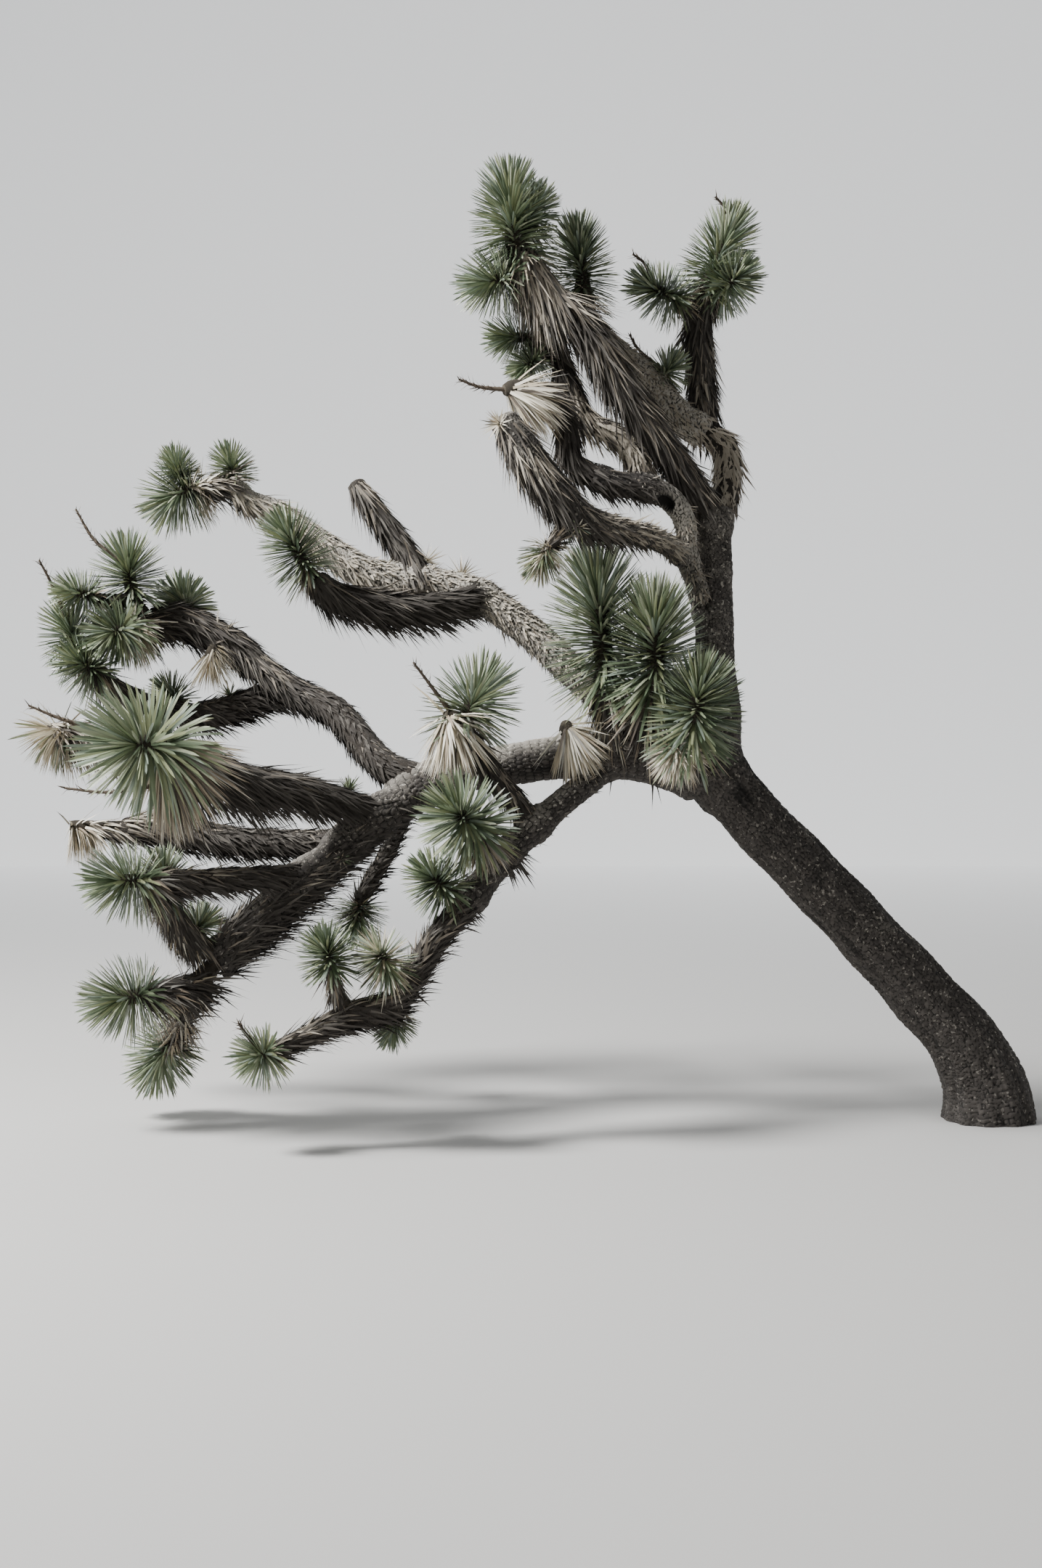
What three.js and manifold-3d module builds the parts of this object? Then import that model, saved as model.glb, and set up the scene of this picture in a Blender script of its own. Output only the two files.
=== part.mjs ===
// A leaning Joshua tree (Yucca brevifolia): a bare trunk that leans from its root flare to a fork, two main
// groups of crooked boughs, and a head of dagger leaves on the end of each shoot.
// Units are millimetres and +Z is up. The origin is the middle of the trunk's flat foot at ground level.
// The trunk leans towards -X, and -Y is the side from which the tree is seen.
import * as THREE from "three";
import { mergeVertices } from "three/addons/utils/BufferGeometryUtils.js";
import Module from "manifold-3d";

// Sizes of the limbs
const CLEARANCE = 0.3; // gap that each piece keeps to the piece that carries it
const RING_SPACING = 140; // length of limb between two rings of its surface
const STEM_SPACING = 90; // the same on a shoot
const BURIED = 200; // depth at which the trunk's route starts, below the cut at ground level
const FOOT_FLARE = 68; // how far the trunk's foot swells past the trunk
const FLARE_LENGTH = 350; // height over which that swelling dies away
const LUMP = 0.05; // unevenness of a limb, as a share of its radius
const LUMP_TURNS = { twist: 1.7, lobes: 2, counterTwist: -0.9, counterLobes: 3 }; // how the lumps wind round
const SIDES = { least: 8, over58: 10, over76: 12, over100: 14 }; // sides of a limb's surface, by radius
const RIDGES = { count: 11, height: 0.04, winding: 0.06 }; // long ridges of the trunk's bark, by its radius
const RIDGE_SWELL = { least: 0.4, twist: 1.3, lobes: 5 }; // how each ridge rises and sinks along the trunk
const COLLAR = 0.25; // swelling where a limb leaves its parent, as a share of its radius
const COLLAR_LENGTH = 1.2; // length over which that swelling dies away, by radius

// Sizes of the shoots and their leaves
const SHOOT_SIDES = 7;
const SHOOT_GIRTH = [46, 32]; // radius of a shoot at its root and under its leaves
const SIDE_SHOOT = 0.8; // girth of a side shoot, as a share of the first shoot's
const SMALL_SHOOT = { least: 0.55, fullAt: 180 }; // least share of the girth, and the leaf at full girth
const SHORTEST_STEM = 30;
const KNOT_GIRTH = 0.2; // radius of the knot of leaf bases, as a share of the leaf's length
const KNOT_END = { radius: 0.35, overhang: 0.3 }; // how round the knot's end is, by its own radius
const ROW_SPACING = 60; // length of leafy shoot for each row of leaves added to the fewest
const FEWEST_ROWS = 2;
const LAST_ROW = 0.92; // where the youngest row stands, as a share of the leafy shoot
const YOUNGEST_AGE = 0.6; // how far from the tip's direction that row leans, in rows
const SHORTEST_LEAF = 0.88; // length of the shortest leaf of a shoot, as a share of the longest
const SPREAD = [1, -0.42]; // cosine of a leaf's angle from the tip, for the youngest and the oldest leaf
const LEAST_OUTWARD = 0.3; // how much a hanging leaf still points away from its shoot
const FLAT_END = 0.6; // how far the rod that stands for a limb stops short of its flat tip, by radius
const LEAF_GAP = 1; // gap that a leaf keeps to every limb and shoot, and to the leaves of the other shoots
const OUTER_PART = 0.4; // share of a leaf's length from which it keeps clear of its own shoot and leaves too
const GROUND_GAP = 12; // height above the ground that every leaf keeps
const SEED = 1907;

// Each limb: the route of its middle line from root to tip, its radius at even steps along it, and how far
// the thatch of dead leaves sags below it at even steps.
const LIMBS = {
  trunk: {
    colour: "bark",
    girth: [130, 128, 124, 122],
    route: [[30, 5, -200], [-64, -5, 230], [-318, -10, 560], [-1030, -50, 1300], [-1225, -60, 1530]],
  },
  upright_bough: {
    colour: "bark",
    girth: [104, 92, 82, 76, 66],
    route: [[-1225, -60, 1470], [-1195, -60, 1700], [-1210, -40, 2010], [-1200, 60, 2650]],
  },
  low_bough: {
    colour: "bark",
    girth: [112, 100, 90, 84, 82],
    route: [[-1210, -60, 1500], [-1630, -80, 1575], [-2340, 0, 1490], [-2490, 30, 1430]],
  },
  low_bough_outer: {
    colour: "bark",
    girth: [78, 76, 72, 68, 60],
    sag: [0, 20, 30, 60, 95, 90],
    route: [[-2450, 30, 1450], [-2590, 20, 1360], [-2900, -70, 1100], [-3250, -140, 810],
      [-3330, -160, 710]],
  },
  front_bough: {
    colour: "bark",
    girth: [52, 54, 58, 56],
    route: [[-1630, -90, 1570], [-2080, -380, 1190], [-2270, -490, 970]],
  },
  front_bough_outer: {
    colour: "thatch",
    girth: [56, 54, 50, 44, 38],
    sag: [0, 30, 45, 25, 10],
    route: [[-2250, -480, 990], [-2370, -560, 860], [-2550, -670, 610], [-2730, -700, 550],
      [-3020, -750, 410]],
  },
  arched_bough: {
    colour: "thatch",
    girth: [74, 72, 68, 62, 54],
    sag: [0, 0, 0, 15, 30],
    route: [[-2440, 20, 1450], [-2650, 120, 1540], [-2860, 310, 1760], [-3110, 470, 1850],
      [-3410, 590, 1780], [-3540, 620, 1760]],
  },
  arched_bough_upper: {
    colour: "thatch",
    girth: [60, 62, 64, 62, 58],
    sag: [0, 10, 25, 45, 30],
    route: [[-3010, 410, 1830], [-3230, 470, 1980], [-3340, 500, 2080], [-3610, 520, 2200],
      [-3730, 500, 2180]],
  },
  middle_bough: {
    colour: "thatch",
    girth: [60, 64, 66, 66, 62],
    sag: [0, 10, 20, 60, 110],
    route: [[-2660, 0, 1330], [-3030, -270, 1450], [-3190, -370, 1480], [-3420, -520, 1600]],
  },
  lower_bough: {
    colour: "thatch",
    girth: [56, 58, 58, 56, 50],
    sag: [0, 15, 20, 40, 20],
    route: [[-2780, -30, 1220], [-2910, 70, 1200], [-3280, 230, 1200], [-3670, 350, 1260],
      [-3840, 380, 1240]],
  },
  lowest_bough: {
    colour: "thatch",
    girth: [46, 46, 46, 44],
    sag: [0, 10, 20, 30],
    route: [[-2950, -80, 1080], [-3210, -310, 1070], [-3540, -470, 1070]],
  },
  drooping_bough: {
    colour: "thatch",
    girth: [42, 40, 38, 36],
    route: [[-2520, 30, 1410], [-2610, 190, 1180], [-2750, 290, 940]],
  },
  long_bough: {
    colour: "bark",
    girth: [64, 66, 70, 70, 68, 64, 52, 40],
    sag: [0, 0, 0, 10, 20, 20, 20, 10],
    route: [[-1570, -80, 1590], [-1670, 60, 1800], [-1800, 150, 1930], [-2240, 290, 2290],
      [-2740, 340, 2400], [-3130, 350, 2660], [-3250, 340, 2710], [-3340, 320, 2790]],
  },
  long_bough_lower: {
    colour: "thatch",
    girth: [60, 62, 64, 62, 54],
    sag: [0, 15, 25, 30, 15],
    route: [[-2210, 280, 2280], [-2450, 110, 2220], [-2840, -10, 2270], [-2930, -30, 2340]],
  },
  dead_stub: {
    colour: "thatch",
    girth: [66, 60, 52, 44],
    route: [[-2490, 320, 2350], [-2560, 360, 2480], [-2790, 410, 2800]],
  },
  hooked_bough: {
    colour: "bark",
    girth: [50, 44, 42, 48, 54, 54, 54],
    route: [[-1250, -50, 2210], [-1325, -90, 2420], [-1345, -110, 2570], [-1410, -130, 2668],
      [-1520, -150, 2712], [-1630, -170, 2722], [-1740, -170, 2760]],
  },
  left_bough: {
    colour: "thatch",
    girth: [44, 46, 52, 68, 82, 76, 58],
    route: [[-1325, -100, 2400], [-1410, -160, 2464], [-1507, -230, 2500], [-1620, -300, 2515],
      [-1810, -380, 2570], [-1980, -410, 2760], [-2120, -390, 2980]],
  },
  hooked_bough_outer: {
    colour: "thatch",
    girth: [54, 52, 46],
    route: [[-1710, -170, 2745], [-1820, -160, 2820], [-1860, -150, 3020], [-1910, -170, 3090],
      [-1990, -190, 3110]],
  },
  twisting_bough: {
    colour: "thatch",
    girth: [50, 54, 52, 48, 44],
    route: [[-1510, -140, 2710], [-1580, -20, 2910], [-1760, 30, 3030], [-1890, 90, 3320],
      [-1960, 100, 3380]],
  },
  diagonal_bough: {
    colour: "thatch",
    girth: [66, 68, 70, 70, 62],
    route: [[-1200, 50, 2600], [-1580, -80, 3110], [-1790, -90, 3460]],
  },
  outer_bough: {
    colour: "thatch",
    girth: [62, 60, 62],
    route: [[-1190, 60, 2610], [-1145, 130, 2710], [-1145, 250, 2940], [-1220, 280, 3000]],
  },
  outer_bough_upper: {
    colour: "bark",
    girth: [66, 68, 60, 50, 42],
    route: [[-1200, 275, 2990], [-1320, 290, 3060], [-1490, 290, 3250], [-1740, 230, 3470],
      [-1770, 200, 3540]],
  },
  right_bough: {
    colour: "thatch",
    girth: [58, 62, 62, 60],
    route: [[-1220, 290, 3000], [-1230, 400, 3230], [-1240, 440, 3490], [-1220, 440, 3570]],
  },
  spur_bough: {
    colour: "thatch",
    girth: [50, 52, 48],
    route: [[-1980, -310, 1290], [-2130, -350, 1470], [-2270, -390, 1670]],
  },
};

// Each mass: its shoots, the first of which carries the rest. A shoot has a route, the length of its longest
// leaves, and the length of shoot that bears leaves. A shag of dead leaves can thicken its stem. On a dead
// head the leaves hang, by the share droop. Spread is the cosine of the youngest and the oldest leaf's lean.
const MASSES = {
  top: [
    { route: [[-1790, -90, 3460], [-1880, -70, 3490], [-2050, -20, 3730], [-2090, 10, 4010]],
      leaf: 190, leafy: 330, shag: 84 },
    { route: [[-2030, -20, 3660], [-2090, -40, 3620], [-2180, -70, 3590]], leaf: 170, leafy: 100 },
    { route: [[-2060, -10, 3750], [-2020, 30, 3850], [-1980, 50, 3940]], leaf: 140, leafy: 100 },
  ],
  top_right: [{ route: [[-1770, 200, 3540], [-1770, 190, 3660], [-1790, 180, 3820]],
      leaf: 165, leafy: 250, shag: 60 }],
  twist_tip: [
    { route: [[-1960, 100, 3380], [-2040, 110, 3390], [-2090, 110, 3390]], leaf: 140, leafy: 70 },
    { route: [[-1960, 100, 3380], [-1970, 60, 3290], [-2020, 40, 3250]], leaf: 110, leafy: 60 },
  ],
  hook_tip: [{ route: [[-1990, -190, 3110], [-2060, -210, 3120], [-2110, -230, 3110]],
      leaf: 240, leafy: 80, spread: [0.1, -0.93], droop: 0.25 }],
  right_tip: [
    { route: [[-1220, 440, 3570], [-1190, 450, 3700], [-1100, 460, 3930]],
      leaf: 175, leafy: 280, shag: 60 },
    { route: [[-1180, 450, 3670], [-1120, 400, 3670], [-1080, 350, 3700]], leaf: 150, leafy: 100 },
  ],
  right_side: [{ route: [[-1230, 440, 3460], [-1300, 400, 3580], [-1460, 330, 3650]],
      leaf: 150, leafy: 130 }],
  outer_side: [{ route: [[-1450, 290, 3200], [-1410, 300, 3250], [-1380, 310, 3290]],
      leaf: 115, leafy: 50 }],
  front_tall: [{ route: [[-1630, -90, 1610], [-1660, -130, 1760], [-1720, -200, 2290]],
      leaf: 262, leafy: 400, shag: 62 }],
  front_middle: [{ route: [[-1460, -80, 1560], [-1510, -200, 1720], [-1480, -330, 1930],
      [-1490, -400, 2140]], leaf: 240, leafy: 330, shag: 56 }],
  front_low: [
    { route: [[-1290, -80, 1520], [-1340, -250, 1600], [-1330, -400, 1700], [-1310, -500, 1850]],
      leaf: 212, leafy: 240 },
    { route: [[-1340, -250, 1600], [-1370, -310, 1610], [-1400, -370, 1610]],
      leaf: 150, leafy: 50, droop: 0.7 },
  ],
  left_side: [{ route: [[-1820, -380, 2570], [-1900, -420, 2470], [-1960, -450, 2380]],
      leaf: 120, leafy: 60, droop: 0.5 }],
  low_tuft: [{ route: [[-1810, -70, 1560], [-1840, -170, 1660], [-1850, -230, 1710]],
      leaf: 215, leafy: 40, droop: 1 }],
  spur_tip: [
    { route: [[-2270, -390, 1670], [-2265, -385, 1740], [-2210, -350, 1840]], leaf: 208, leafy: 120 },
    { route: [[-2280, -400, 1690], [-2320, -420, 1730], [-2350, -440, 1750]],
      leaf: 245, leafy: 60, droop: 1.2 },
  ],
  front_side: [{ route: [[-2090, -390, 1170], [-2200, -520, 1260], [-2290, -640, 1350]],
      leaf: 205, leafy: 120 }],
  front_small: [{ route: [[-2270, -490, 970], [-2330, -530, 1020], [-2400, -570, 1090]],
      leaf: 145, leafy: 80 }],
  long_tip: [
    { route: [[-3340, 320, 2790], [-3550, 320, 2740], [-3590, 310, 2710]], leaf: 185, leafy: 90 },
    { route: [[-3480, 330, 2755], [-3550, 345, 2810], [-3580, 350, 2870]], leaf: 112, leafy: 70 },
  ],
  long_upper: [{ route: [[-3270, 340, 2710], [-3310, 350, 2800], [-3340, 360, 2880]],
      leaf: 118, leafy: 70 }],
  long_lower_tip: [{ route: [[-2930, -30, 2340], [-2985, -40, 2430], [-3035, -60, 2520]],
      leaf: 165, leafy: 170 }],
  upper_left: [
    { route: [[-3730, 500, 2180], [-3790, 470, 2280], [-3810, 440, 2430]], leaf: 188, leafy: 120 },
    { route: [[-3780, 470, 2270], [-3930, 380, 2280], [-4040, 330, 2300]], leaf: 128, leafy: 80 },
  ],
  upper_right: [{ route: [[-3550, 520, 2190], [-3570, 600, 2240], [-3610, 660, 2290]],
      leaf: 155, leafy: 90 }],
  upper_skirt: [{ route: [[-3400, 500, 2120], [-3420, 470, 2070], [-3450, 450, 2010]],
      leaf: 165, leafy: 50, droop: 1.8 }],
  upper_front: [{ route: [[-3700, 500, 2190], [-3790, 400, 2150], [-3860, 310, 2120]],
      leaf: 170, leafy: 110 }],
  arch_tip: [{ route: [[-3540, 620, 1760], [-3610, 640, 1810], [-3660, 650, 1860]],
      leaf: 120, leafy: 60 }],
  arch_left: [
    { route: [[-3510, 610, 1760], [-3740, 480, 1820], [-4010, 320, 1990]], leaf: 155, leafy: 90 },
    { route: [[-3890, 390, 1900], [-4030, 420, 2060], [-4080, 430, 2150]], leaf: 170, leafy: 110 },
  ],
  middle_tip: [{ route: [[-3420, -520, 1600], [-3500, -640, 1620], [-3570, -740, 1630]],
      leaf: 290, leafy: 150 }],
  middle_left: [{ route: [[-3390, -500, 1580], [-3610, -280, 1640], [-3880, -120, 1680],
      [-4060, -60, 1690]], leaf: 180, leafy: 80, droop: 0.9 }],
  lower_tip: [{ route: [[-3840, 380, 1240], [-3960, 370, 1250], [-4060, 350, 1255]],
      leaf: 175, leafy: 80, spread: [0.15, -0.8], droop: 0.3 }],
  lowest_tip: [{ route: [[-3540, -470, 1070], [-3610, -500, 1070], [-3680, -540, 1070]],
      leaf: 185, leafy: 100 }],
  lowest_top: [
    { route: [[-3330, -160, 710], [-3490, -280, 890], [-3530, -340, 1090]],
      leaf: 140, leafy: 90, shag: 56 },
    { route: [[-3430, -230, 790], [-3420, -190, 820], [-3400, -130, 860]], leaf: 120, leafy: 60 },
  ],
  foot_left: [{ route: [[-3330, -160, 710], [-3410, -200, 620], [-3720, -330, 560]],
      leaf: 200, leafy: 110, shag: 54 }],
  foot_down: [{ route: [[-3330, -160, 710], [-3450, -60, 520], [-3620, 20, 230]], leaf: 170, leafy: 110 }],
  droop_tip: [{ route: [[-2750, 290, 940], [-2760, 290, 880], [-2770, 280, 830]], leaf: 140, leafy: 60 }],
  outer_left: [{ route: [[-2670, -690, 560], [-2750, -700, 590], [-2810, -780, 820]],
      leaf: 130, leafy: 80 }],
  outer_middle: [{ route: [[-2500, -650, 660], [-2540, -700, 690], [-2600, -760, 800]],
      leaf: 140, leafy: 70, droop: 0.3 }],
  outer_down: [{ route: [[-2510, -640, 650], [-2530, -600, 550], [-2560, -590, 470]],
      leaf: 105, leafy: 50 }],
  outer_tip: [{ route: [[-3020, -750, 410], [-3050, -770, 400], [-3075, -790, 395]],
      leaf: 140, leafy: 40 }],
};

const COLOURS = {
  bark: new THREE.MeshStandardMaterial({ color: 0x4a4038, roughness: 0.95, metalness: 0 }),
  thatch: new THREE.MeshStandardMaterial({ color: 0x6b6152, roughness: 0.95, metalness: 0 }),
  leaves: new THREE.MeshStandardMaterial({ color: 0x7d8767, roughness: 0.6, metalness: 0 }),
};

const wasm = await Module();
wasm.setup();
const { Manifold, Mesh } = wasm;

// A repeatable stream of numbers from 0 to 1.
function stream(seed) {
  let state = seed >>> 0;
  return () => {
    state = (state + 0x6d2b79f5) >>> 0;
    let t = Math.imul(state ^ (state >>> 15), 1 | state);
    t = (t + Math.imul(t ^ (t >>> 7), 61 | t)) ^ t;
    return ((t ^ (t >>> 14)) >>> 0) / 4294967296;
  };
}

const curveOf = (route) =>
  new THREE.CatmullRomCurve3(route.map((p) => new THREE.Vector3(...p)), false, "centripetal");

function sidesFor(name, radius) {
  if (name === "trunk") return 2 * RIDGES.count;
  if (radius > 100) return SIDES.over100;
  if (radius > 76) return SIDES.over76;
  return radius > 58 ? SIDES.over58 : SIDES.least;
}

// The value at a share of the way through a list of evenly spaced values.
function along(values, share) {
  const at = Math.min(values.length - 1.001, Math.max(0, share * (values.length - 1)));
  const i = Math.floor(at);
  return values[i] + (values[i + 1] - values[i]) * (at - i);
}

// Rings along a limb: middle, two directions across it, the first of them the part of +Y that is square to
// the limb, and its radius and sag. The ends stand out by the clearance.
function limbRings(name, { route, girth, sag }, clearance) {
  const curve = curveOf(route);
  const radiusAt = limbRadius(name, girth);
  const length = curve.getLength();
  const steps = Math.max(2, Math.round(length / RING_SPACING));
  return Array.from({ length: steps + 1 }, (_, i) => {
    const share = i / steps;
    const overhang = i === 0 ? -clearance : i === steps ? clearance : 0;
    const tangent = curve.getTangentAt(share);
    const across = new THREE.Vector3(0, 1, 0).addScaledVector(tangent, -tangent.y).normalize();
    return {
      middle: curve.getPointAt(share).addScaledVector(tangent, overhang),
      across,
      beside: tangent.clone().cross(across),
      ridges: name === "trunk" ? RIDGES.height : 0,
      radius: radiusAt(share, length) + clearance,
      sag: sag ? along(sag, share) : 0,
    };
  });
}

// How far a ridge stands out or a furrow lies in, at an angle from the first ridge.
function ridgeAt(i, angle) {
  const { least, twist, lobes } = RIDGE_SWELL;
  const swell = least + ((1 - least) * (1 + Math.sin(twist * i + lobes * angle))) / 2;
  return Math.cos(RIDGES.count * angle) * swell;
}

// The lumpy ring of points around one place on a limb. On the trunk, every other point is on a ridge.
function ringPoints(ring, sides, lumps, i) {
  const { twist, lobes, counterTwist, counterLobes } = LUMP_TURNS;
  const { ridges = 0 } = ring;
  return Array.from({ length: sides }, (_, j) => {
    const fromRidge = (2 * Math.PI * j) / sides;
    const angle = fromRidge + (ridges ? RIDGES.winding * i : 0);
    const wave = Math.sin(twist * i + lobes * angle) * Math.cos(counterTwist * i + counterLobes * angle);
    const uneven = 1 + lumps * wave + ridges * ridgeAt(i, fromRidge);
    const outward = ring.across.clone()
      .multiplyScalar(Math.cos(angle))
      .addScaledVector(ring.beside, Math.sin(angle));
    const point = ring.middle.clone().addScaledVector(outward, ring.radius * uneven);
    point.z -= ring.sag * Math.max(0, -outward.z);
    return point;
  });
}

// A closed surface of rings of points, with an end point beyond each end.
function skin(rows, foot, tip) {
  const sides = rows[0].length;
  const index = [];
  for (let i = 0; i + 1 < rows.length; i++) {
    for (let j = 0; j < sides; j++) {
      const a = i * sides + j;
      const b = i * sides + ((j + 1) % sides);
      index.push(a, b, a + sides, b, b + sides, a + sides);
    }
  }
  const count = rows.length * sides;
  for (let j = 0; j < sides; j++) {
    const next = (j + 1) % sides;
    index.push(count, next, j, count + 1, count - sides + j, count - sides + next);
  }
  return { points: [...rows.flat(), foot, tip], index };
}

const geometryFrom = ({ points, index }) => new THREE.BufferGeometry().setFromPoints(points).setIndex(index);

// A geometry as a solid, and a solid as a geometry.
function solidOf(geometry) {
  const bare = geometry.clone();
  bare.deleteAttribute("normal");
  bare.deleteAttribute("uv");
  const merged = mergeVertices(bare, 1e-3);
  return new Manifold(new Mesh({
    numProp: 3,
    vertProperties: merged.attributes.position.array,
    triVerts: new Uint32Array(merged.index.array),
  }));
}

function geometryOf(solid) {
  const { vertProperties, triVerts } = solid.getMesh();
  const geometry = new THREE.BufferGeometry()
    .setAttribute("position", new THREE.BufferAttribute(new Float32Array(vertProperties), 3))
    .setIndex(new THREE.BufferAttribute(new Uint32Array(triVerts), 1));
  geometry.computeVertexNormals();
  return geometry;
}

const largest = (solid) =>
  solid.decompose().reduce((best, piece) => (piece.volume() > best.volume() ? piece : best));

// Radius along a limb: its own girth, a collar at the root, and on the trunk a flare at the foot.
function limbRadius(name, girth) {
  return (share, length) => {
    const even = along(girth, share);
    const fromRoot = share * length;
    if (name !== "trunk") return even * (1 + COLLAR * Math.exp(-fromRoot / (COLLAR_LENGTH * girth[0])));
    return even + FOOT_FLARE * Math.exp(-Math.max(0, fromRoot - BURIED) / FLARE_LENGTH);
  };
}

// Where the rows of a shoot stand: a few along its bare stem, then closer ones between its leaves.
function shootRows(shoot, length) {
  const rows = Math.round(FEWEST_ROWS + shoot.leafy / ROW_SPACING);
  const bare = Math.max(SHORTEST_STEM, length - shoot.leafy - 0.5 * KNOT_GIRTH * shoot.leaf);
  const bareRows = Math.max(1, Math.round(bare / STEM_SPACING));
  const stem = Array.from({ length: bareRows }, (_, i) => ({ at: (bare * i) / bareRows, age: null }));
  const leafy = Array.from({ length: rows + 1 }, (_, i) => ({
    at: bare + (length - bare) * LAST_ROW * (i / rows),
    age: 1 - i / (rows + YOUNGEST_AGE),
  }));
  return [...stem, ...leafy];
}

// The rings of a shoot, which is even on its stem, swells to the knot of leaf bases and closes in a dome.
function shootRings({ shoot, curve, girth }, clearance) {
  const length = curve.getLength();
  const rows = shootRows(shoot, length);
  const knot = KNOT_GIRTH * shoot.leaf;
  const bare = rows.find((row) => row.age !== null).at;
  const { shag = 0 } = shoot;
  let across = new THREE.Vector3(0, 1, 0);
  return rows.map(({ at, age }, i) => {
    const tangent = curve.getTangentAt(at / length);
    across = across.clone().addScaledVector(tangent, -across.dot(tangent)).normalize();
    const beside = tangent.clone().cross(across);
    const turn = (Math.PI * i) / SHOOT_SIDES;
    const stem = Math.max(along(girth, at / bare), i ? shag : 0);
    const fromEnd = (length - at) / knot + KNOT_END.overhang;
    const dome = knot * Math.max(KNOT_END.radius, Math.sqrt(Math.min(1, fromEnd)));
    const leafy = Math.max(dome, LAST_ROW * girth[1], shag * age);
    return {
      middle: curve.getPointAt(at / length).addScaledVector(tangent, i ? 0 : -clearance),
      across: across.clone().applyAxisAngle(tangent, turn),
      beside: beside.applyAxisAngle(tangent, turn),
      radius: (age === null ? stem : leafy) + clearance,
      sag: 0,
      age,
    };
  });
}

// The space that is taken so far, as tapering rods, for the test that a leaf stays clear.
const rods = [];

function addRods(owner, rings) {
  const ends = rings.map(({ middle, radius, sag }) => ({
    middle: middle.clone().add(new THREE.Vector3(0, 0, -sag / 2)),
    radius: radius * (1 + LUMP) + sag / 2,
  }));
  const last = ends.length - 1;
  ends[last].middle.lerp(ends[last - 1].middle, FLAT_END * ends[last].radius / RING_SPACING);
  for (let i = 1; i <= last; i++) {
    const [a, b] = [ends[i - 1], ends[i]];
    rods.push({ owner, a: a.middle, b: b.middle, ra: a.radius, rb: b.radius });
  }
}

// How far apart two tapering rods lie, less than nothing where they touch.
function gapBetween(p, q) {
  const d1 = p.b.clone().sub(p.a);
  const d2 = q.b.clone().sub(q.a);
  const r = p.a.clone().sub(q.a);
  const [a, e, f, c, b] = [d1.dot(d1), d2.dot(d2), d2.dot(r), d1.dot(r), d1.dot(d2)];
  const spread = a * e - b * b;
  const clamp = (x) => Math.min(1, Math.max(0, x));
  let s = spread > 1e-6 ? clamp((b * f - c * e) / spread) : 0;
  const t = clamp((b * s + f) / e);
  s = clamp((b * t - c) / a);
  const near = p.a.clone().addScaledVector(d1, s);
  const far = q.a.clone().addScaledVector(d2, t);
  return near.distanceTo(far) - (p.ra + (p.rb - p.ra) * s) - (q.ra + (q.rb - q.ra) * t);
}

const outerPart = ({ owner, a, b, ra }) => ({
  owner,
  a: a.clone().lerp(b, OUTER_PART),
  b,
  ra: ra * (1 - OUTER_PART) ** 2,
  rb: 0,
});

// Whether a leaf keeps clear of all that stands, and its outer part of its own shoot and leaves.
function isClear(leaf) {
  const outer = outerPart(leaf);
  return rods.every((other) => {
    if (other.owner !== leaf.owner) return gapBetween(leaf, other) > LEAF_GAP;
    return gapBetween(outer, other.leaf ? outerPart(other) : other) > 0;
  });
}

// The tip of the leaf on one face of a shoot: the older the leaf, the further it leans back from the tip.
function leafTip(shoot, ring, centre, random) {
  const axis = ring.across.clone().cross(ring.beside);
  const from = centre.clone().sub(ring.middle);
  const outward = from.addScaledVector(axis, -from.dot(axis)).normalize();
  const [young, old] = shoot.spread ?? SPREAD;
  const lean = Math.acos(young + (old - young) * ring.age);
  const heading = axis.multiplyScalar(Math.cos(lean)).addScaledVector(outward, Math.sin(lean));
  heading.z -= shoot.droop ?? 0;
  heading.addScaledVector(outward, Math.max(0, LEAST_OUTWARD - heading.dot(outward))).normalize();
  const reach = shoot.leaf * (SHORTEST_LEAF + (1 - SHORTEST_LEAF) * random());
  return ring.middle.clone().addScaledVector(heading, reach);
}

// A shoot's surface, where each face of its leafy part is drawn out to the sharp tip of a leaf.
function leafySurface(stem, random) {
  const rings = shootRings(stem, 0);
  const rows = rings.map((ring) => ringPoints(ring, SHOOT_SIDES, 0, 0));
  const { points, index } = skin(rows, rings[0].middle, stem.curve.getPoint(1));
  const spiked = [];
  for (let k = 0; k < index.length; k += 3) {
    const face = index.slice(k, k + 3);
    const oldest = Math.min(...face.map((n) => Math.floor(n / SHOOT_SIDES)));
    const ring = rings[Math.min(oldest, rings.length - 1)];
    const centre = face.reduce((sum, n) => sum.add(points[n]), new THREE.Vector3()).divideScalar(3);
    const tip = ring.age === null ? null : leafTip(stem.shoot, ring, centre, random);
    const girth = Math.max(...face.map((n) => points[n].distanceTo(centre)));
    const rod = { owner: stem, leaf: true, a: centre, b: tip, ra: girth, rb: 0 };
    if (!tip || tip.z < GROUND_GAP || !isClear(rod)) {
      spiked.push(...face);
      continue;
    }
    rods.push(rod);
    const [p, q, r, apex] = [...face, points.push(tip) - 1];
    spiked.push(p, q, apex, q, r, apex, r, p, apex);
  }
  return { points, index: spiked };
}

const tree = new THREE.Group();
const cutters = []; // each piece made so far, grown by the clearance

// Cuts a new piece clear of all that stands, then notes its own grown shape.
function cutClear(solid, grown) {
  const cut = cutters.length ? largest(solid.subtract(Manifold.union(cutters))) : solid;
  cutters.push(grown);
  return cut;
}

function addMesh(name, solid, root, colour) {
  const mesh = new THREE.Mesh(geometryOf(solid).translate(-root.x, -root.y, -root.z), COLOURS[colour]);
  mesh.name = name;
  mesh.position.copy(root);
  tree.add(mesh);
}

function limbSolid(rings, sides) {
  const rows = rings.map((ring, i) => ringPoints(ring, sides, LUMP, i));
  return solidOf(geometryFrom(skin(rows, rings[0].middle, rings[rings.length - 1].middle)));
}

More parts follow.
